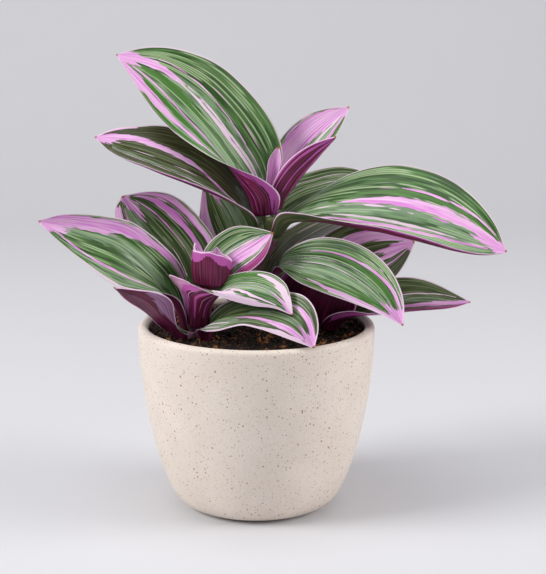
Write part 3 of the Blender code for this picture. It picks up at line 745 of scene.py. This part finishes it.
def make_stem(node, bend_mm, material):
    """A stem: the solid of its CAD node, rounded, with the low swellings of living skin. It bends aside a
    little under its last joint."""
    shape = welded(node)
    low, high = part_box(node)
    for point in shape.verts:
        share = (point.co.z - low.z) / (high.z - low.z)
        point.co.x += bend_mm * MM * math.exp(-(((share - 0.87) / 0.1) ** 2))
    mesh = bpy.data.meshes.new(node + "_fine")
    shape.to_mesh(mesh)
    shape.free()
    stem = piece(node + "_fine", mesh, node, slot_of(node), material)
    rounded = stem.modifiers.new("rounded", "REMESH")
    rounded.mode = "VOXEL"
    rounded.voxel_size = 0.45 * MM
    rounded.use_smooth_shade = True
    stem.modifiers.new("eased", "SMOOTH").iterations = 12
    lumps = stem.modifiers.new("lumps", "DISPLACE")
    lumps.texture = bpy.data.textures.new(node + "_lumps", "CLOUDS")
    lumps.texture.noise_scale = 4 * MM
    lumps.strength = 0.6 * MM
    lumps.mid_level = 0.4


# ---------------------------------------------------------------- pot and soil

POT_SIDES = 160
SOIL_RINGS = 70
SKIRT_FOOT = 45 * MM  # height of the soil skirt's lower end above the base of the soil


def pot_outside(radius, height, rim_height, foot):
    """The outside's radius at a height: nearly upright at the rim, and rounding in towards the foot."""
    fall = 1 - height / rim_height
    spread = radius - foot
    return radius - spread * (0.597 * fall**1.85 + 0.159 * fall**8 + 0.234 * fall**45)


def pot_profile(sizes):
    """(radius, height) from the middle of the foot up the outside, over the lip and down the inside."""
    low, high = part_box("pot")
    radius, height = high.x, high.z
    wall, floor, foot = sizes.wall_mm * MM, sizes.floor_mm * MM, sizes.foot_mm * MM
    rim = height - wall / 2
    outside = [rim * (i / 70) ** 1.8 for i in range(1, 71)]
    profile = [(foot - 3 * MM, low.z), (foot - 0.5 * MM, low.z), (foot, low.z + 0.1 * MM)]
    profile += [(pot_outside(radius, z, rim, foot), z) for z in outside if z > 0.3 * MM]
    turns = [math.pi * i / 16 for i in range(1, 16)]
    profile += [(radius - wall / 2 + wall / 2 * math.cos(a), rim + wall / 2 * math.sin(a)) for a in turns]
    inside = [rim - (rim - 13 * MM) * i / 30 for i in range(31)]
    profile += [(pot_outside(radius, z, rim, foot) - wall, z) for z in inside]
    profile += [(foot - 2 * MM, floor), (foot - 12 * MM, floor)]
    return profile


def make_pot(sizes, material):
    """The thrown pot: its profile turned round, with painted shade on the inside from just below the lip."""
    profile = pot_profile(sizes)
    points = [point for radius, height in profile for point in circle(radius, height, POT_SIDES)]
    faces = grid_faces(len(profile), POT_SIDES, rings=True)
    faces.append(tuple(reversed(range(POT_SIDES))))
    faces.append(tuple(range(len(points) - POT_SIDES, len(points))))
    mesh = bpy.data.meshes.new("stoneware_pot")
    mesh.from_pydata(points, [], faces)
    outside_out(mesh)
    mesh.shade_smooth()
    mesh.set_sharp_from_angle(angle=math.radians(50))
    heights = np.array([height for _, height in profile])
    # painted shade: the inner wall is darkened from 1.5 mm below the lip, fully from 3 mm down
    inner_shade = (heights.max() - heights - 1.5 * MM) / (1.5 * MM)
    inner_shade[: heights.argmax() + 1] = 0
    write_attribute(mesh, "inner_shade", np.repeat(inner_shade.clip(0, 1), POT_SIDES))
    return piece("stoneware_pot", mesh, "pot", "stoneware", material)


def soil_height(x, y, top):
    """The height of the uneven soil surface."""
    slow = noise.noise(Vector((x, y, 0.1)) / (17 * MM))
    clods = noise.noise(Vector((x, y, 0.3)) / (3.1 * MM))
    return top + (0.7 * slow + 0.55 * clods - 0.3) * MM


def make_soil(material):
    """The soil surface, with a skirt that goes down inside the wall."""
    low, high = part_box("soil")
    radius, top = high.x - 0.1 * MM, high.z
    points = [(0, 0, soil_height(0, 0, top))]
    for k in range(1, SOIL_RINGS + 1):
        around = circle(radius * k / SOIL_RINGS, 0, POT_SIDES)
        points += [(x, y, soil_height(x, y, top)) for x, y, _ in around]
    skirt = len(points)
    points += [(0.9 * x, 0.9 * y, low.z + SKIRT_FOOT) for x, y, _ in points[-POT_SIDES:]]
    faces = [(0, 1 + i, 1 + (i + 1) % POT_SIDES) for i in range(POT_SIDES)]
    faces += grid_faces(SOIL_RINGS + 1, POT_SIDES, first=1, rings=True)
    faces.append(tuple(reversed(range(skirt, skirt + POT_SIDES))))
    mesh = bpy.data.meshes.new("soil_surface")
    mesh.from_pydata(points, [], faces)
    outside_out(mesh)
    mesh.shade_smooth()
    return piece("soil_surface", mesh, "soil", "potting_soil", material)


def crumb_points(chance, size):
    """The corners of one broken crumb: a rough lump that is flatter than it is wide."""
    shape = bmesh.new()
    bmesh.ops.create_icosphere(shape, subdivisions=2 if size > 0.9 * MM else 1, radius=1)
    stretch = Vector((chance.uniform(0.7, 1.5), chance.uniform(0.6, 1.1), chance.uniform(0.5, 0.9)))
    up = Vector((chance.gauss(0, 1), chance.gauss(0, 1), chance.gauss(0, 1))).normalized()
    turn = Vector((0, 0, 1)).rotation_difference(up)
    offset = Vector((chance.uniform(0, 90), 0, 0))
    for point in shape.verts:
        rough = 1 + 0.55 * noise.noise(point.co * 1.6 + offset)
        point.co = turn @ (point.co * stretch * rough * size)
    corners = [v.co.copy() for v in shape.verts]
    faces = [[v.index for v in face.verts] for face in shape.faces]
    shape.free()
    return corners, faces


def make_crumbs(sizes, material):
    """Loose crumbs of coir and bark, heaped a little along the wall."""
    chance = random.Random(11)
    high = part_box("soil")[1]
    reach = high.x - 1.2 * MM
    points, faces, tones = [], [], []
    for _ in range(sizes.crumbs):
        turn = chance.uniform(0, 2 * math.pi)
        out = reach * math.sqrt(chance.random())
        size = min(chance.lognormvariate(math.log(0.62), 0.42), 1.9) * MM
        x, y = out * math.cos(turn), out * math.sin(turn)
        heap = 2.2 * MM * (out / reach) ** 8
        place = Vector((x, y, soil_height(x, y, high.z) + heap * chance.random() + 0.25 * size))
        corners, lump = crumb_points(chance, size)
        first = len(points)
        points += [tuple(place + p) for p in corners]
        faces += [[first + i for i in face] for face in lump]
        tones += [chance.random()] * len(corners)
    mesh = bpy.data.meshes.new("soil_crumbs")
    mesh.from_pydata(points, [], faces)
    write_attribute(mesh, "tone", np.array(tones))
    return piece("soil_crumbs", mesh, "soil", "potting_soil", material)


# ---------------------------------------------------------------- materials

# How many skin cells lie across the box round a leaf. They are too fine to show one by one, and are left so:
# together they soften the colours and the gloss.
UPPER_GRAINS, UNDER_GRAINS = 770, 625


def new_material(name):
    """A material with an empty node tree but for its Principled shader and its output."""
    material = bpy.data.materials.new(name)
    material.use_nodes = True
    return material, material.node_tree, material.node_tree.nodes["Principled BSDF"]


def feed(tree, sockets, inputs):
    """Gives each socket, by name or number, its value or the output that feeds it."""
    for key, value in inputs.items():
        if isinstance(value, bpy.types.NodeSocket):
            tree.links.new(value, sockets[key])
        else:
            sockets[key].default_value = value


def add(tree, kind, inputs=(), out=0, **settings):
    """Adds a node with its settings and what its sockets hold, and gives back one of its outputs."""
    made = tree.nodes.new("ShaderNode" + kind)
    for name, value in settings.items():
        setattr(made, name, value)
    feed(tree, made.inputs, dict(inputs))
    return made.outputs[out]


def mask(tree, *steps):
    """The product of eased steps, each a value, where that value gives 0 and where it gives 1."""
    product = None
    for value, none, full in steps:
        step = add(tree, "MapRange", {0: value, 1: none, 2: full}, interpolation_type="SMOOTHSTEP")
        product = step if product is None else add(tree, "Math", {0: product, 1: step}, operation="MULTIPLY")
    return product


def coats(tree, colour, *layers):
    """Lays coats over a first colour. A coat is where it lies, from 0 to 1, its strength and its colour."""
    for place, strength, top in layers:
        share = add(tree, "Math", {0: place, 1: strength}, operation="MULTIPLY")
        ends = [end if isinstance(end, bpy.types.NodeSocket) else (*end, 1) for end in (colour, top)]
        colour = add(tree, "Mix", {0: share, 6: ends[0], 7: ends[1]}, out=2, data_type="RGBA")
    return colour


class BladeLines:
    """The nodes that both sides of a leaf share: where a point is on the blade and how its veins vary."""

    def __init__(self, tree, veins):
        self.tree = tree
        self.to_tip, across, _ = self.parts(add(tree, "UVMap", uv_map="blade"))
        across = add(tree, "Math", {0: across, 1: veins}, operation="MULTIPLY")
        self.vein = add(tree, "Math", {0: across}, operation="FLOOR")
        within = add(tree, "Math", {0: across}, operation="FRACT")
        from_middle = add(tree, "Math", {0: within, 1: 0.5}, operation="SUBTRACT")
        self.ridge = add(tree, "Math", {0: from_middle}, operation="ABSOLUTE")
        self.paint = self.parts(add(tree, "Attribute", out="Vector", attribute_name="paint"))
        self.marks = self.parts(add(tree, "Attribute", out="Vector", attribute_name="marks"))
        # how far painted shade darkens the leaf
        self.shade_olive = add(tree, "Attribute", out="Fac", attribute_name="shade_olive")
        self.stray = self.per_vein(3.71, 11)

    def parts(self, vector):
        return add(self.tree, "SeparateXYZ", {0: vector}).node.outputs

    def per_vein(self, spread, along_mm, shift=0):
        """Noise that is the same across a vein and changes over `along_mm` along it."""
        x = add(self.tree, "Math", {0: self.vein, 1: spread, 2: shift}, operation="MULTIPLY_ADD")
        y = add(self.tree, "Math", {0: self.to_tip, 1: 100 / along_mm}, operation="MULTIPLY")
        where = add(self.tree, "CombineXYZ", {0: x, 1: y})
        return add(self.tree, "TexNoise", {"Vector": where, "Scale": 1, "Detail": 1}, noise_dimensions="2D")

    def stripe(self, depth):
        """1 inside a stripe and 0 outside it, with an edge that strays from vein to vein."""
        edge = add(self.tree, "Math", {0: self.stray, 1: 2.2, 2: depth}, operation="MULTIPLY_ADD")
        return mask(self.tree, (edge, 0.95, 1.25))


def leaf_upper(colours, sizes):
    """A living leaf's upper side: a waxy skin over green tissue. It looks satin, with fine pale veins side by
    side, stripes whose ends fray from vein to vein, and a thin pale margin."""
    material, tree, shader = new_material("leaf_upper_side")
    lines = BladeLines(tree, sizes.veins)
    streak = mask(tree, (lines.per_vein(1.93, 30, 40), 0.35, 0.65))
    broken = mask(tree, (lines.per_vein(2.57, 16, 90), 0.32, 0.62))
    dark = mask(tree, (lines.per_vein(4.13, 30, 60), 0.48, 0.6))
    vein = mask(tree, (lines.ridge, 0.5, 0.15), (lines.per_vein(5.31, 45, 20), 0.5, 0.58))
    mottle = add(tree, "TexNoise", {"Scale": UPPER_GRAINS, "Detail": 4, "Roughness": 0.65})
    grain = mask(tree, (mottle, 0.35, 0.65))
    patchy = mask(tree, (broken, -0.5, 1.0), (mottle, 0.2, 0.62))
    silver = add(tree, "Math", {0: lines.stripe(lines.paint[2]), 1: patchy}, operation="MULTIPLY")
    pink = coats(
        tree,
        colours.pink,
        (streak, 1, colours.light_pink),
        (grain, 0.4, colours.pink),
        (vein, 0.5, colours.pale),
    )
    pale = coats(tree, colours.pale, (broken, 0.35, colours.light_pink))
    curled = coats(tree, colours.purple, (streak, 0.75, colours.magenta))
    colour = coats(
        tree,
        colours.deep_green,
        (streak, 1, colours.green),
        (grain, 0.18, colours.vein_green),
        (dark, 0.8, colours.deep_green),
        (vein, 0.8, colours.vein_green),
        # painted shade: the green of a leaf in shadow darkened to olive brown
        (lines.shade_olive, 0.9, colours.shade_olive),
        (silver, 0.6, colours.silver),
        (lines.stripe(lines.marks[0]), 1, colours.green),
        (lines.stripe(lines.paint[0]), 1, pink),
        (lines.stripe(lines.paint[1]), 1, pale),
        (lines.stripe(lines.marks[1]), 1, curled),
        (mask(tree, (lines.marks[2], 0.62, 0.38)), 0.9, colours.pale),
        (mask(tree, (lines.to_tip, 0.016, 0.006)), 1, colours.tip),
    )
    gloss = add(tree, "MapRange", {"Value": mottle, "To Min": 0.33, "To Max": 0.47})
    height = coats(tree, (0.35, 0.35, 0.35), (vein, 0.8, (1, 1, 1)), (mottle, 0.3, (0, 0, 0)))
    bump = add(tree, "Bump", {"Strength": 0.35, "Distance": 0.12 * MM, "Height": height})
    feed(tree, shader.inputs, {"Base Color": colour, "Roughness": gloss, "Normal": bump, "IOR": 1.38})
    feed(tree, shader.inputs, {"Subsurface Weight": 0.06, "Subsurface Scale": 0.8 * MM})
    return material


def leaf_underside(colours, sizes):
    """A living leaf's underside: matt purple skin with paler veins close together, brighter along the margin."""
    material, tree, shader = new_material("leaf_underside")
    lines = BladeLines(tree, sizes.veins)
    streak = mask(tree, (lines.per_vein(1.93, 24, 40), 0.3, 0.7))
    vein = mask(tree, (lines.ridge, 0.3, 0.05), (lines.per_vein(2.57, 16, 90), 0.32, 0.62))
    mottle = add(tree, "TexNoise", {"Scale": UNDER_GRAINS, "Detail": 3})
    petiole = coats(tree, colours.deep_green, (streak, 1, linear("#5d6a45")))
    lilac = coats(tree, linear("#8d5c88"), (streak, 1, linear("#a981a6")))
    bright = coats(tree, colours.magenta, (mottle, 0.35, colours.purple))
    cream = coats(tree, linear("#d9b2c4"), (mottle, 0.9, colours.magenta))
    colour = coats(
        tree,
        colours.maroon,
        (streak, 1, colours.purple),
        (vein, 0.25, colours.magenta),
        # painted shade: the underside of a leaf in shadow darkened towards maroon
        (lines.shade_olive, 0.7, colours.maroon),
        (lines.stripe(lines.marks[0]), 0.85, petiole),
        (lines.stripe(lines.paint[2]), 0.85, lilac),
        (lines.stripe(lines.paint[0]), 1, bright),
        (lines.stripe(lines.paint[1]), 1, cream),
        (mask(tree, (lines.marks[2], 0.6, 0.35)), 1, colours.light_pink),
        (mask(tree, (lines.to_tip, 0.016, 0.006)), 1, colours.tip),
    )
    height = coats(tree, (0.3, 0.3, 0.3), (vein, 0.9, (1, 1, 1)))
    bump = add(tree, "Bump", {"Strength": 0.4, "Distance": 0.15 * MM, "Height": height})
    feed(tree, shader.inputs, {"Base Color": colour, "Roughness": 0.45, "Normal": bump, "IOR": 1.38})
    return material


def stem_skin(colours):
    """A fleshy young stem: smooth satin skin, purple brown with green showing through along it."""
    material, tree, shader = new_material("fleshy_stem")
    place = add(tree, "TexCoord", out="Object")
    drawn = add(tree, "Mapping", {"Vector": place, "Scale": (1, 1, 0.12)})
    along = add(tree, "TexNoise", {"Vector": drawn, "Scale": 1 / (1.4 * MM), "Detail": 2})
    patches = add(tree, "TexNoise", {"Vector": place, "Scale": 1 / (14 * MM), "Detail": 1})
    height = add(tree, "SeparateXYZ", {0: place}, out=2)
    colour = coats(
        tree,
        colours.stem_purple,
        (mask(tree, (along, 0.4, 0.65)), 1, linear("#5f2f48")),
        (mask(tree, (patches, 0.5, 0.65)), 0.5, colours.stem_green),
        (mask(tree, (height, LAST_JOINT - 0.5 * MM, LAST_JOINT + 0.5 * MM)), 0.85, colours.stem_green),
    )
    bump = add(tree, "Bump", {"Strength": 0.3, "Distance": 0.2 * MM, "Height": along})
    feed(tree, shader.inputs, {"Base Color": colour, "Roughness": 0.42, "Normal": bump})
    return material


def specks(tree, place, spacing_mm, share, size, softness):
    """Scattered round specks: 1 inside one. `share` of the cells hold one, up to `size` of the spacing wide."""
    cells = add(tree, "TexVoronoi", {"Vector": place, "Scale": 1 / (spacing_mm * MM)}).node.outputs
    chance = add(tree, "SeparateXYZ", {0: cells["Color"]})
    radius = add(tree, "MapRange", {"Value": chance, "From Min": 1 - share, "To Max": size})
    inside = add(tree, "Math", {0: radius, 1: cells["Distance"]}, operation="SUBTRACT")
    held = add(tree, "Math", {0: chance, 1: 1 - share}, operation="GREATER_THAN")
    return add(tree, "Math", {0: mask(tree, (inside, 0, softness)), 1: held}, operation="MULTIPLY")


def stoneware(colours, sizes):
    """Unglazed stoneware, thrown and fired: matt, pale, a little uneven, with small iron specks burnt through
    the clay and lighter grog between them. Inside, from just below the lip down, it is painted nearly black as shade."""
    material, tree, shader = new_material("speckled_stoneware")
    place = add(tree, "TexCoord", out="Object")
    warp = add(tree, "TexNoise", {"Vector": place, "Scale": 1 / (1.1 * MM), "Detail": 2}, out=1)
    warped = add(tree, "VectorMath", {0: warp, 1: (0.5 * MM,) * 3, 2: place}, operation="MULTIPLY_ADD")
    iron = specks(tree, warped, sizes.speck_mm, 0.75, 0.27, 0.06)
    fine_iron = specks(tree, warped, sizes.speck_mm * 0.55, 0.7, 0.36, 0.08)
    grog = specks(tree, warped, sizes.speck_mm * 0.5, 0.8, 0.4, 0.12)
    grain = add(tree, "TexNoise", {"Vector": place, "Scale": 1 / (0.8 * MM), "Detail": 4})
    clouds = add(tree, "TexNoise", {"Vector": place, "Scale": 1 / (22 * MM), "Detail": 2})
    inner_shade = add(tree, "Attribute", out="Fac", attribute_name="inner_shade")
    colour = coats(
        tree,
        colours.clay,
        (mask(tree, (clouds, 0.3, 0.7)), 0.25, linear("#d3c4b6")),
        (mask(tree, (grain, 0.3, 0.75)), 0.3, linear("#cbbcae")),
        (grog, 0.55, linear("#efe8e1")),
        (fine_iron, 0.55, colours.speck),
        (iron, 0.9, colours.speck),
        # painted shade: the inside wall below the lip, darkened nearly to black
        (inner_shade, 0.88, linear("#2a1a10")),
    )
    height = coats(tree, (0.4, 0.4, 0.4), (grain, 1, (0.7, 0.7, 0.7)), (iron, 1, (0, 0, 0)))
    bump = add(tree, "Bump", {"Strength": 0.35, "Distance": 0.12 * MM, "Height": height})
    feed(tree, shader.inputs, {"Base Color": colour, "Roughness": 0.55, "Normal": bump})
    return material


def damp_soil(colours):
    """Damp coir potting soil: nearly black, dull and fibrous."""
    material, tree, shader = new_material("damp_coir")
    place = add(tree, "TexCoord", out="Object")
    clods = add(tree, "TexNoise", {"Vector": place, "Scale": 1 / (1.2 * MM), "Detail": 5})
    colour = coats(tree, colours.soil, (mask(tree, (clods, 0.4, 0.75)), 1, linear("#4a2f1d")))
    bump = add(tree, "Bump", {"Strength": 0.9, "Distance": 0.8 * MM, "Height": clods})
    feed(tree, shader.inputs, {"Base Color": colour, "Roughness": 0.95, "Normal": bump})
    return material


def dry_crumb(colours):
    """Crumbs of coir and bark, from damp and nearly black to dry and orange brown."""
    material, tree, shader = new_material("coir_crumb")
    tone = add(tree, "Attribute", out="Fac", attribute_name="tone")
    place = add(tree, "TexCoord", out="Object")
    grain = add(tree, "TexNoise", {"Vector": place, "Scale": 1 / (0.5 * MM), "Detail": 3})
    colour = coats(
        tree,
        colours.soil,
        (mask(tree, (tone, 0.42, 0.85)), 1, linear("#633a20")),
        (mask(tree, (tone, 0.8, 0.95)), 1, colours.crumb),
        (grain, 0.6, colours.soil),
    )
    bump = add(tree, "Bump", {"Strength": 0.6, "Distance": 0.3 * MM, "Height": grain})
    feed(tree, shader.inputs, {"Base Color": colour, "Roughness": 0.85, "Normal": bump})
    return material


def studio_paper(colours):
    """Matt paper swept up behind the object."""
    material, tree, shader = new_material("studio_paper")
    place = add(tree, "TexCoord", out="Object")
    fibre = add(tree, "TexNoise", {"Vector": place, "Scale": 1 / (1.5 * MM), "Detail": 2})
    colour = coats(tree, colours.backdrop, (fibre, 0.08, linear("#c9cace")))
    feed(tree, shader.inputs, {"Base Color": colour, "Roughness": 0.9})
    return material


# ---------------------------------------------------------------- studio

CAMERA_ELEVATION = math.radians(12.5)
CAMERA_DISTANCE = 0.9
CAMERA_LENS = 111.5  # in mm, on a sensor 36 mm wide
VIEW_CENTRE = Vector((8.35 * MM, 0, 113.3 * MM))
PAPER_WIDTH = 14.0
PAPER_FRONT, PAPER_BACK = -5.0, 1.38  # where the floor begins, and where the backdrop stands
PAPER_BEND, PAPER_HEIGHT = 0.6, 3.2  # radius of the curve between them, and the backdrop's top
# Each soft light: its place, side, power in watts and colour. The key light is at the left of the plant.
LIGHTS = {
    "key": ((-1.4, -0.5, 1.0), 0.8, 21.0, (1.0, 0.99, 0.97)),
    "side": ((1.2, -0.2, 0.6), 0.7, 9.0, (1.0, 0.98, 0.96)),
    "top": ((0.0, -0.1, 1.4), 1.0, 6.5, (1.0, 1.0, 1.0)),
}
ROOM_COLOUR, ROOM_LIGHT = (0.93, 0.95, 1.0, 1), 0.27


def make_paper(material):
    """The floor, which curves up into the backdrop."""
    foot, bend = PAPER_BACK - PAPER_BEND, PAPER_BEND
    turns = [0.5 * math.pi * i / 24 for i in range(25)]
    profile = [(foot + bend * math.sin(turn), bend - bend * math.cos(turn)) for turn in turns]
    profile = [(PAPER_FRONT, 0.0), *profile, (PAPER_BACK, PAPER_HEIGHT)]
    points = [(x, y, z) for y, z in profile for x in (-PAPER_WIDTH / 2, PAPER_WIDTH / 2)]
    mesh = bpy.data.meshes.new("paper_sweep")
    mesh.from_pydata(points, [], grid_faces(len(profile), 2))
    mesh.shade_smooth()
    mesh.materials.append(material)
    sweep = bpy.data.objects.new("paper_sweep", mesh)
    bpy.context.collection.objects.link(sweep)


def make_light(name, place, size, power, colour):
    """A square soft light that faces the plant."""
    light = bpy.data.lights.new(name, "AREA")
    light.shape = "SQUARE"
    light.size = size
    light.energy = power
    light.color = colour
    lamp = bpy.data.objects.new(name, light)
    lamp.location = place
    lamp.rotation_euler = (VIEW_CENTRE - Vector(place)).to_track_quat("-Z", "Y").to_euler()
    bpy.context.collection.objects.link(lamp)


def make_camera():
    camera = bpy.data.cameras.new("camera")
    camera.lens = CAMERA_LENS
    camera.sensor_width = 36.0
    camera.clip_start = 0.01
    holder = bpy.data.objects.new("camera", camera)
    back = Vector((0, -math.cos(CAMERA_ELEVATION), math.sin(CAMERA_ELEVATION)))
    holder.location = VIEW_CENTRE + back * CAMERA_DISTANCE
    holder.rotation_euler = (math.pi / 2 - CAMERA_ELEVATION, 0, 0)
    bpy.context.collection.objects.link(holder)
    bpy.context.scene.camera = holder


def make_world():
    world = bpy.data.worlds.new("soft_room")
    world.use_nodes = True
    background = world.node_tree.nodes["Background"]
    feed(world.node_tree, background.inputs, {"Color": ROOM_COLOUR, "Strength": ROOM_LIGHT})
    bpy.context.scene.world = world


# ---------------------------------------------------------------- operators and panel


class TRADESCANTIA_OT_pot(bpy.types.Operator):
    """Makes the stoneware pot"""

    bl_idname = "tradescantia.pot"
    bl_label = "Make the pot"

    def execute(self, context):
        scene = context.scene
        make_pot(scene.pot_sizes, stoneware(scene.plant_colours, scene.pot_sizes))
        return {"FINISHED"}


class TRADESCANTIA_OT_soil(bpy.types.Operator):
    """Makes the soil and the crumbs on it"""

    bl_idname = "tradescantia.soil"
    bl_label = "Make the soil"

    def execute(self, context):
        scene = context.scene
        make_soil(damp_soil(scene.plant_colours))
        make_crumbs(scene.pot_sizes, dry_crumb(scene.plant_colours))
        return {"FINISHED"}


class TRADESCANTIA_OT_stems(bpy.types.Operator):
    """Makes the stems"""

    bl_idname = "tradescantia.stems"
    bl_label = "Make the stems"

    def execute(self, context):
        skin = stem_skin(context.scene.plant_colours)
        for node, bend_mm in STEM_BENDS_MM.items():
            make_stem(node, bend_mm, skin)
        return {"FINISHED"}


class TRADESCANTIA_OT_leaves(bpy.types.Operator):
    """Makes all the leaves"""

    bl_idname = "tradescantia.leaves"
    bl_label = "Make the leaves"

    def execute(self, context):
        scene = context.scene
        sizes, colours = scene.plant_sizes, scene.plant_colours
        materials = (leaf_upper(colours, sizes), leaf_underside(colours, sizes))
        for number, node in enumerate(LOOKS):
            make_leaf(node, number, sizes, materials)
        make_bud("leaf_rolled_bud", len(LOOKS), materials)
        return {"FINISHED"}


class TRADESCANTIA_OT_stage(bpy.types.Operator):
    """Makes the paper, the lights and the camera"""

    bl_idname = "tradescantia.stage"
    bl_label = "Make the stage"

    def execute(self, context):
        make_paper(studio_paper(context.scene.plant_colours))
        for name, settings in LIGHTS.items():
            make_light(name, *settings)
        make_world()
        make_camera()
        context.scene.view_settings.view_transform = "Standard"
        return {"FINISHED"}


OPERATORS = (
    TRADESCANTIA_OT_stage,
    TRADESCANTIA_OT_pot,
    TRADESCANTIA_OT_soil,
    TRADESCANTIA_OT_stems,
    TRADESCANTIA_OT_leaves,
)


class TRADESCANTIA_PT_panel(bpy.types.Panel):
    """Lists the pieces of the plant"""

    bl_idname = "TRADESCANTIA_PT_panel"
    bl_label = "Potted tradescantia"
    bl_space_type = "VIEW_3D"
    bl_region_type = "UI"
    bl_category = "Tradescantia"

    def draw(self, context):
        for operator in OPERATORS:
            self.layout.operator(operator.bl_idname)
        for group in (context.scene.plant_sizes, context.scene.pot_sizes, context.scene.plant_colours):
            for name in group.__annotations__:
                self.layout.prop(group, name)


CLASSES = (PlantSizes, PotSizes, PlantColours, *OPERATORS, TRADESCANTIA_PT_panel)


def register():
    for cls in CLASSES:
        bpy.utils.register_class(cls)
    bpy.types.Scene.plant_sizes = bpy.props.PointerProperty(type=PlantSizes)
    bpy.types.Scene.pot_sizes = bpy.props.PointerProperty(type=PotSizes)
    bpy.types.Scene.plant_colours = bpy.props.PointerProperty(type=PlantColours)


def unregister():
    del bpy.types.Scene.plant_sizes, bpy.types.Scene.pot_sizes, bpy.types.Scene.plant_colours
    for cls in reversed(CLASSES):
        bpy.utils.unregister_class(cls)


def main():
    register()
    for operator in OPERATORS:
        group, name = operator.bl_idname.split(".")
        getattr(getattr(bpy.ops, group), name)()


if __name__ == "__main__":
    main()
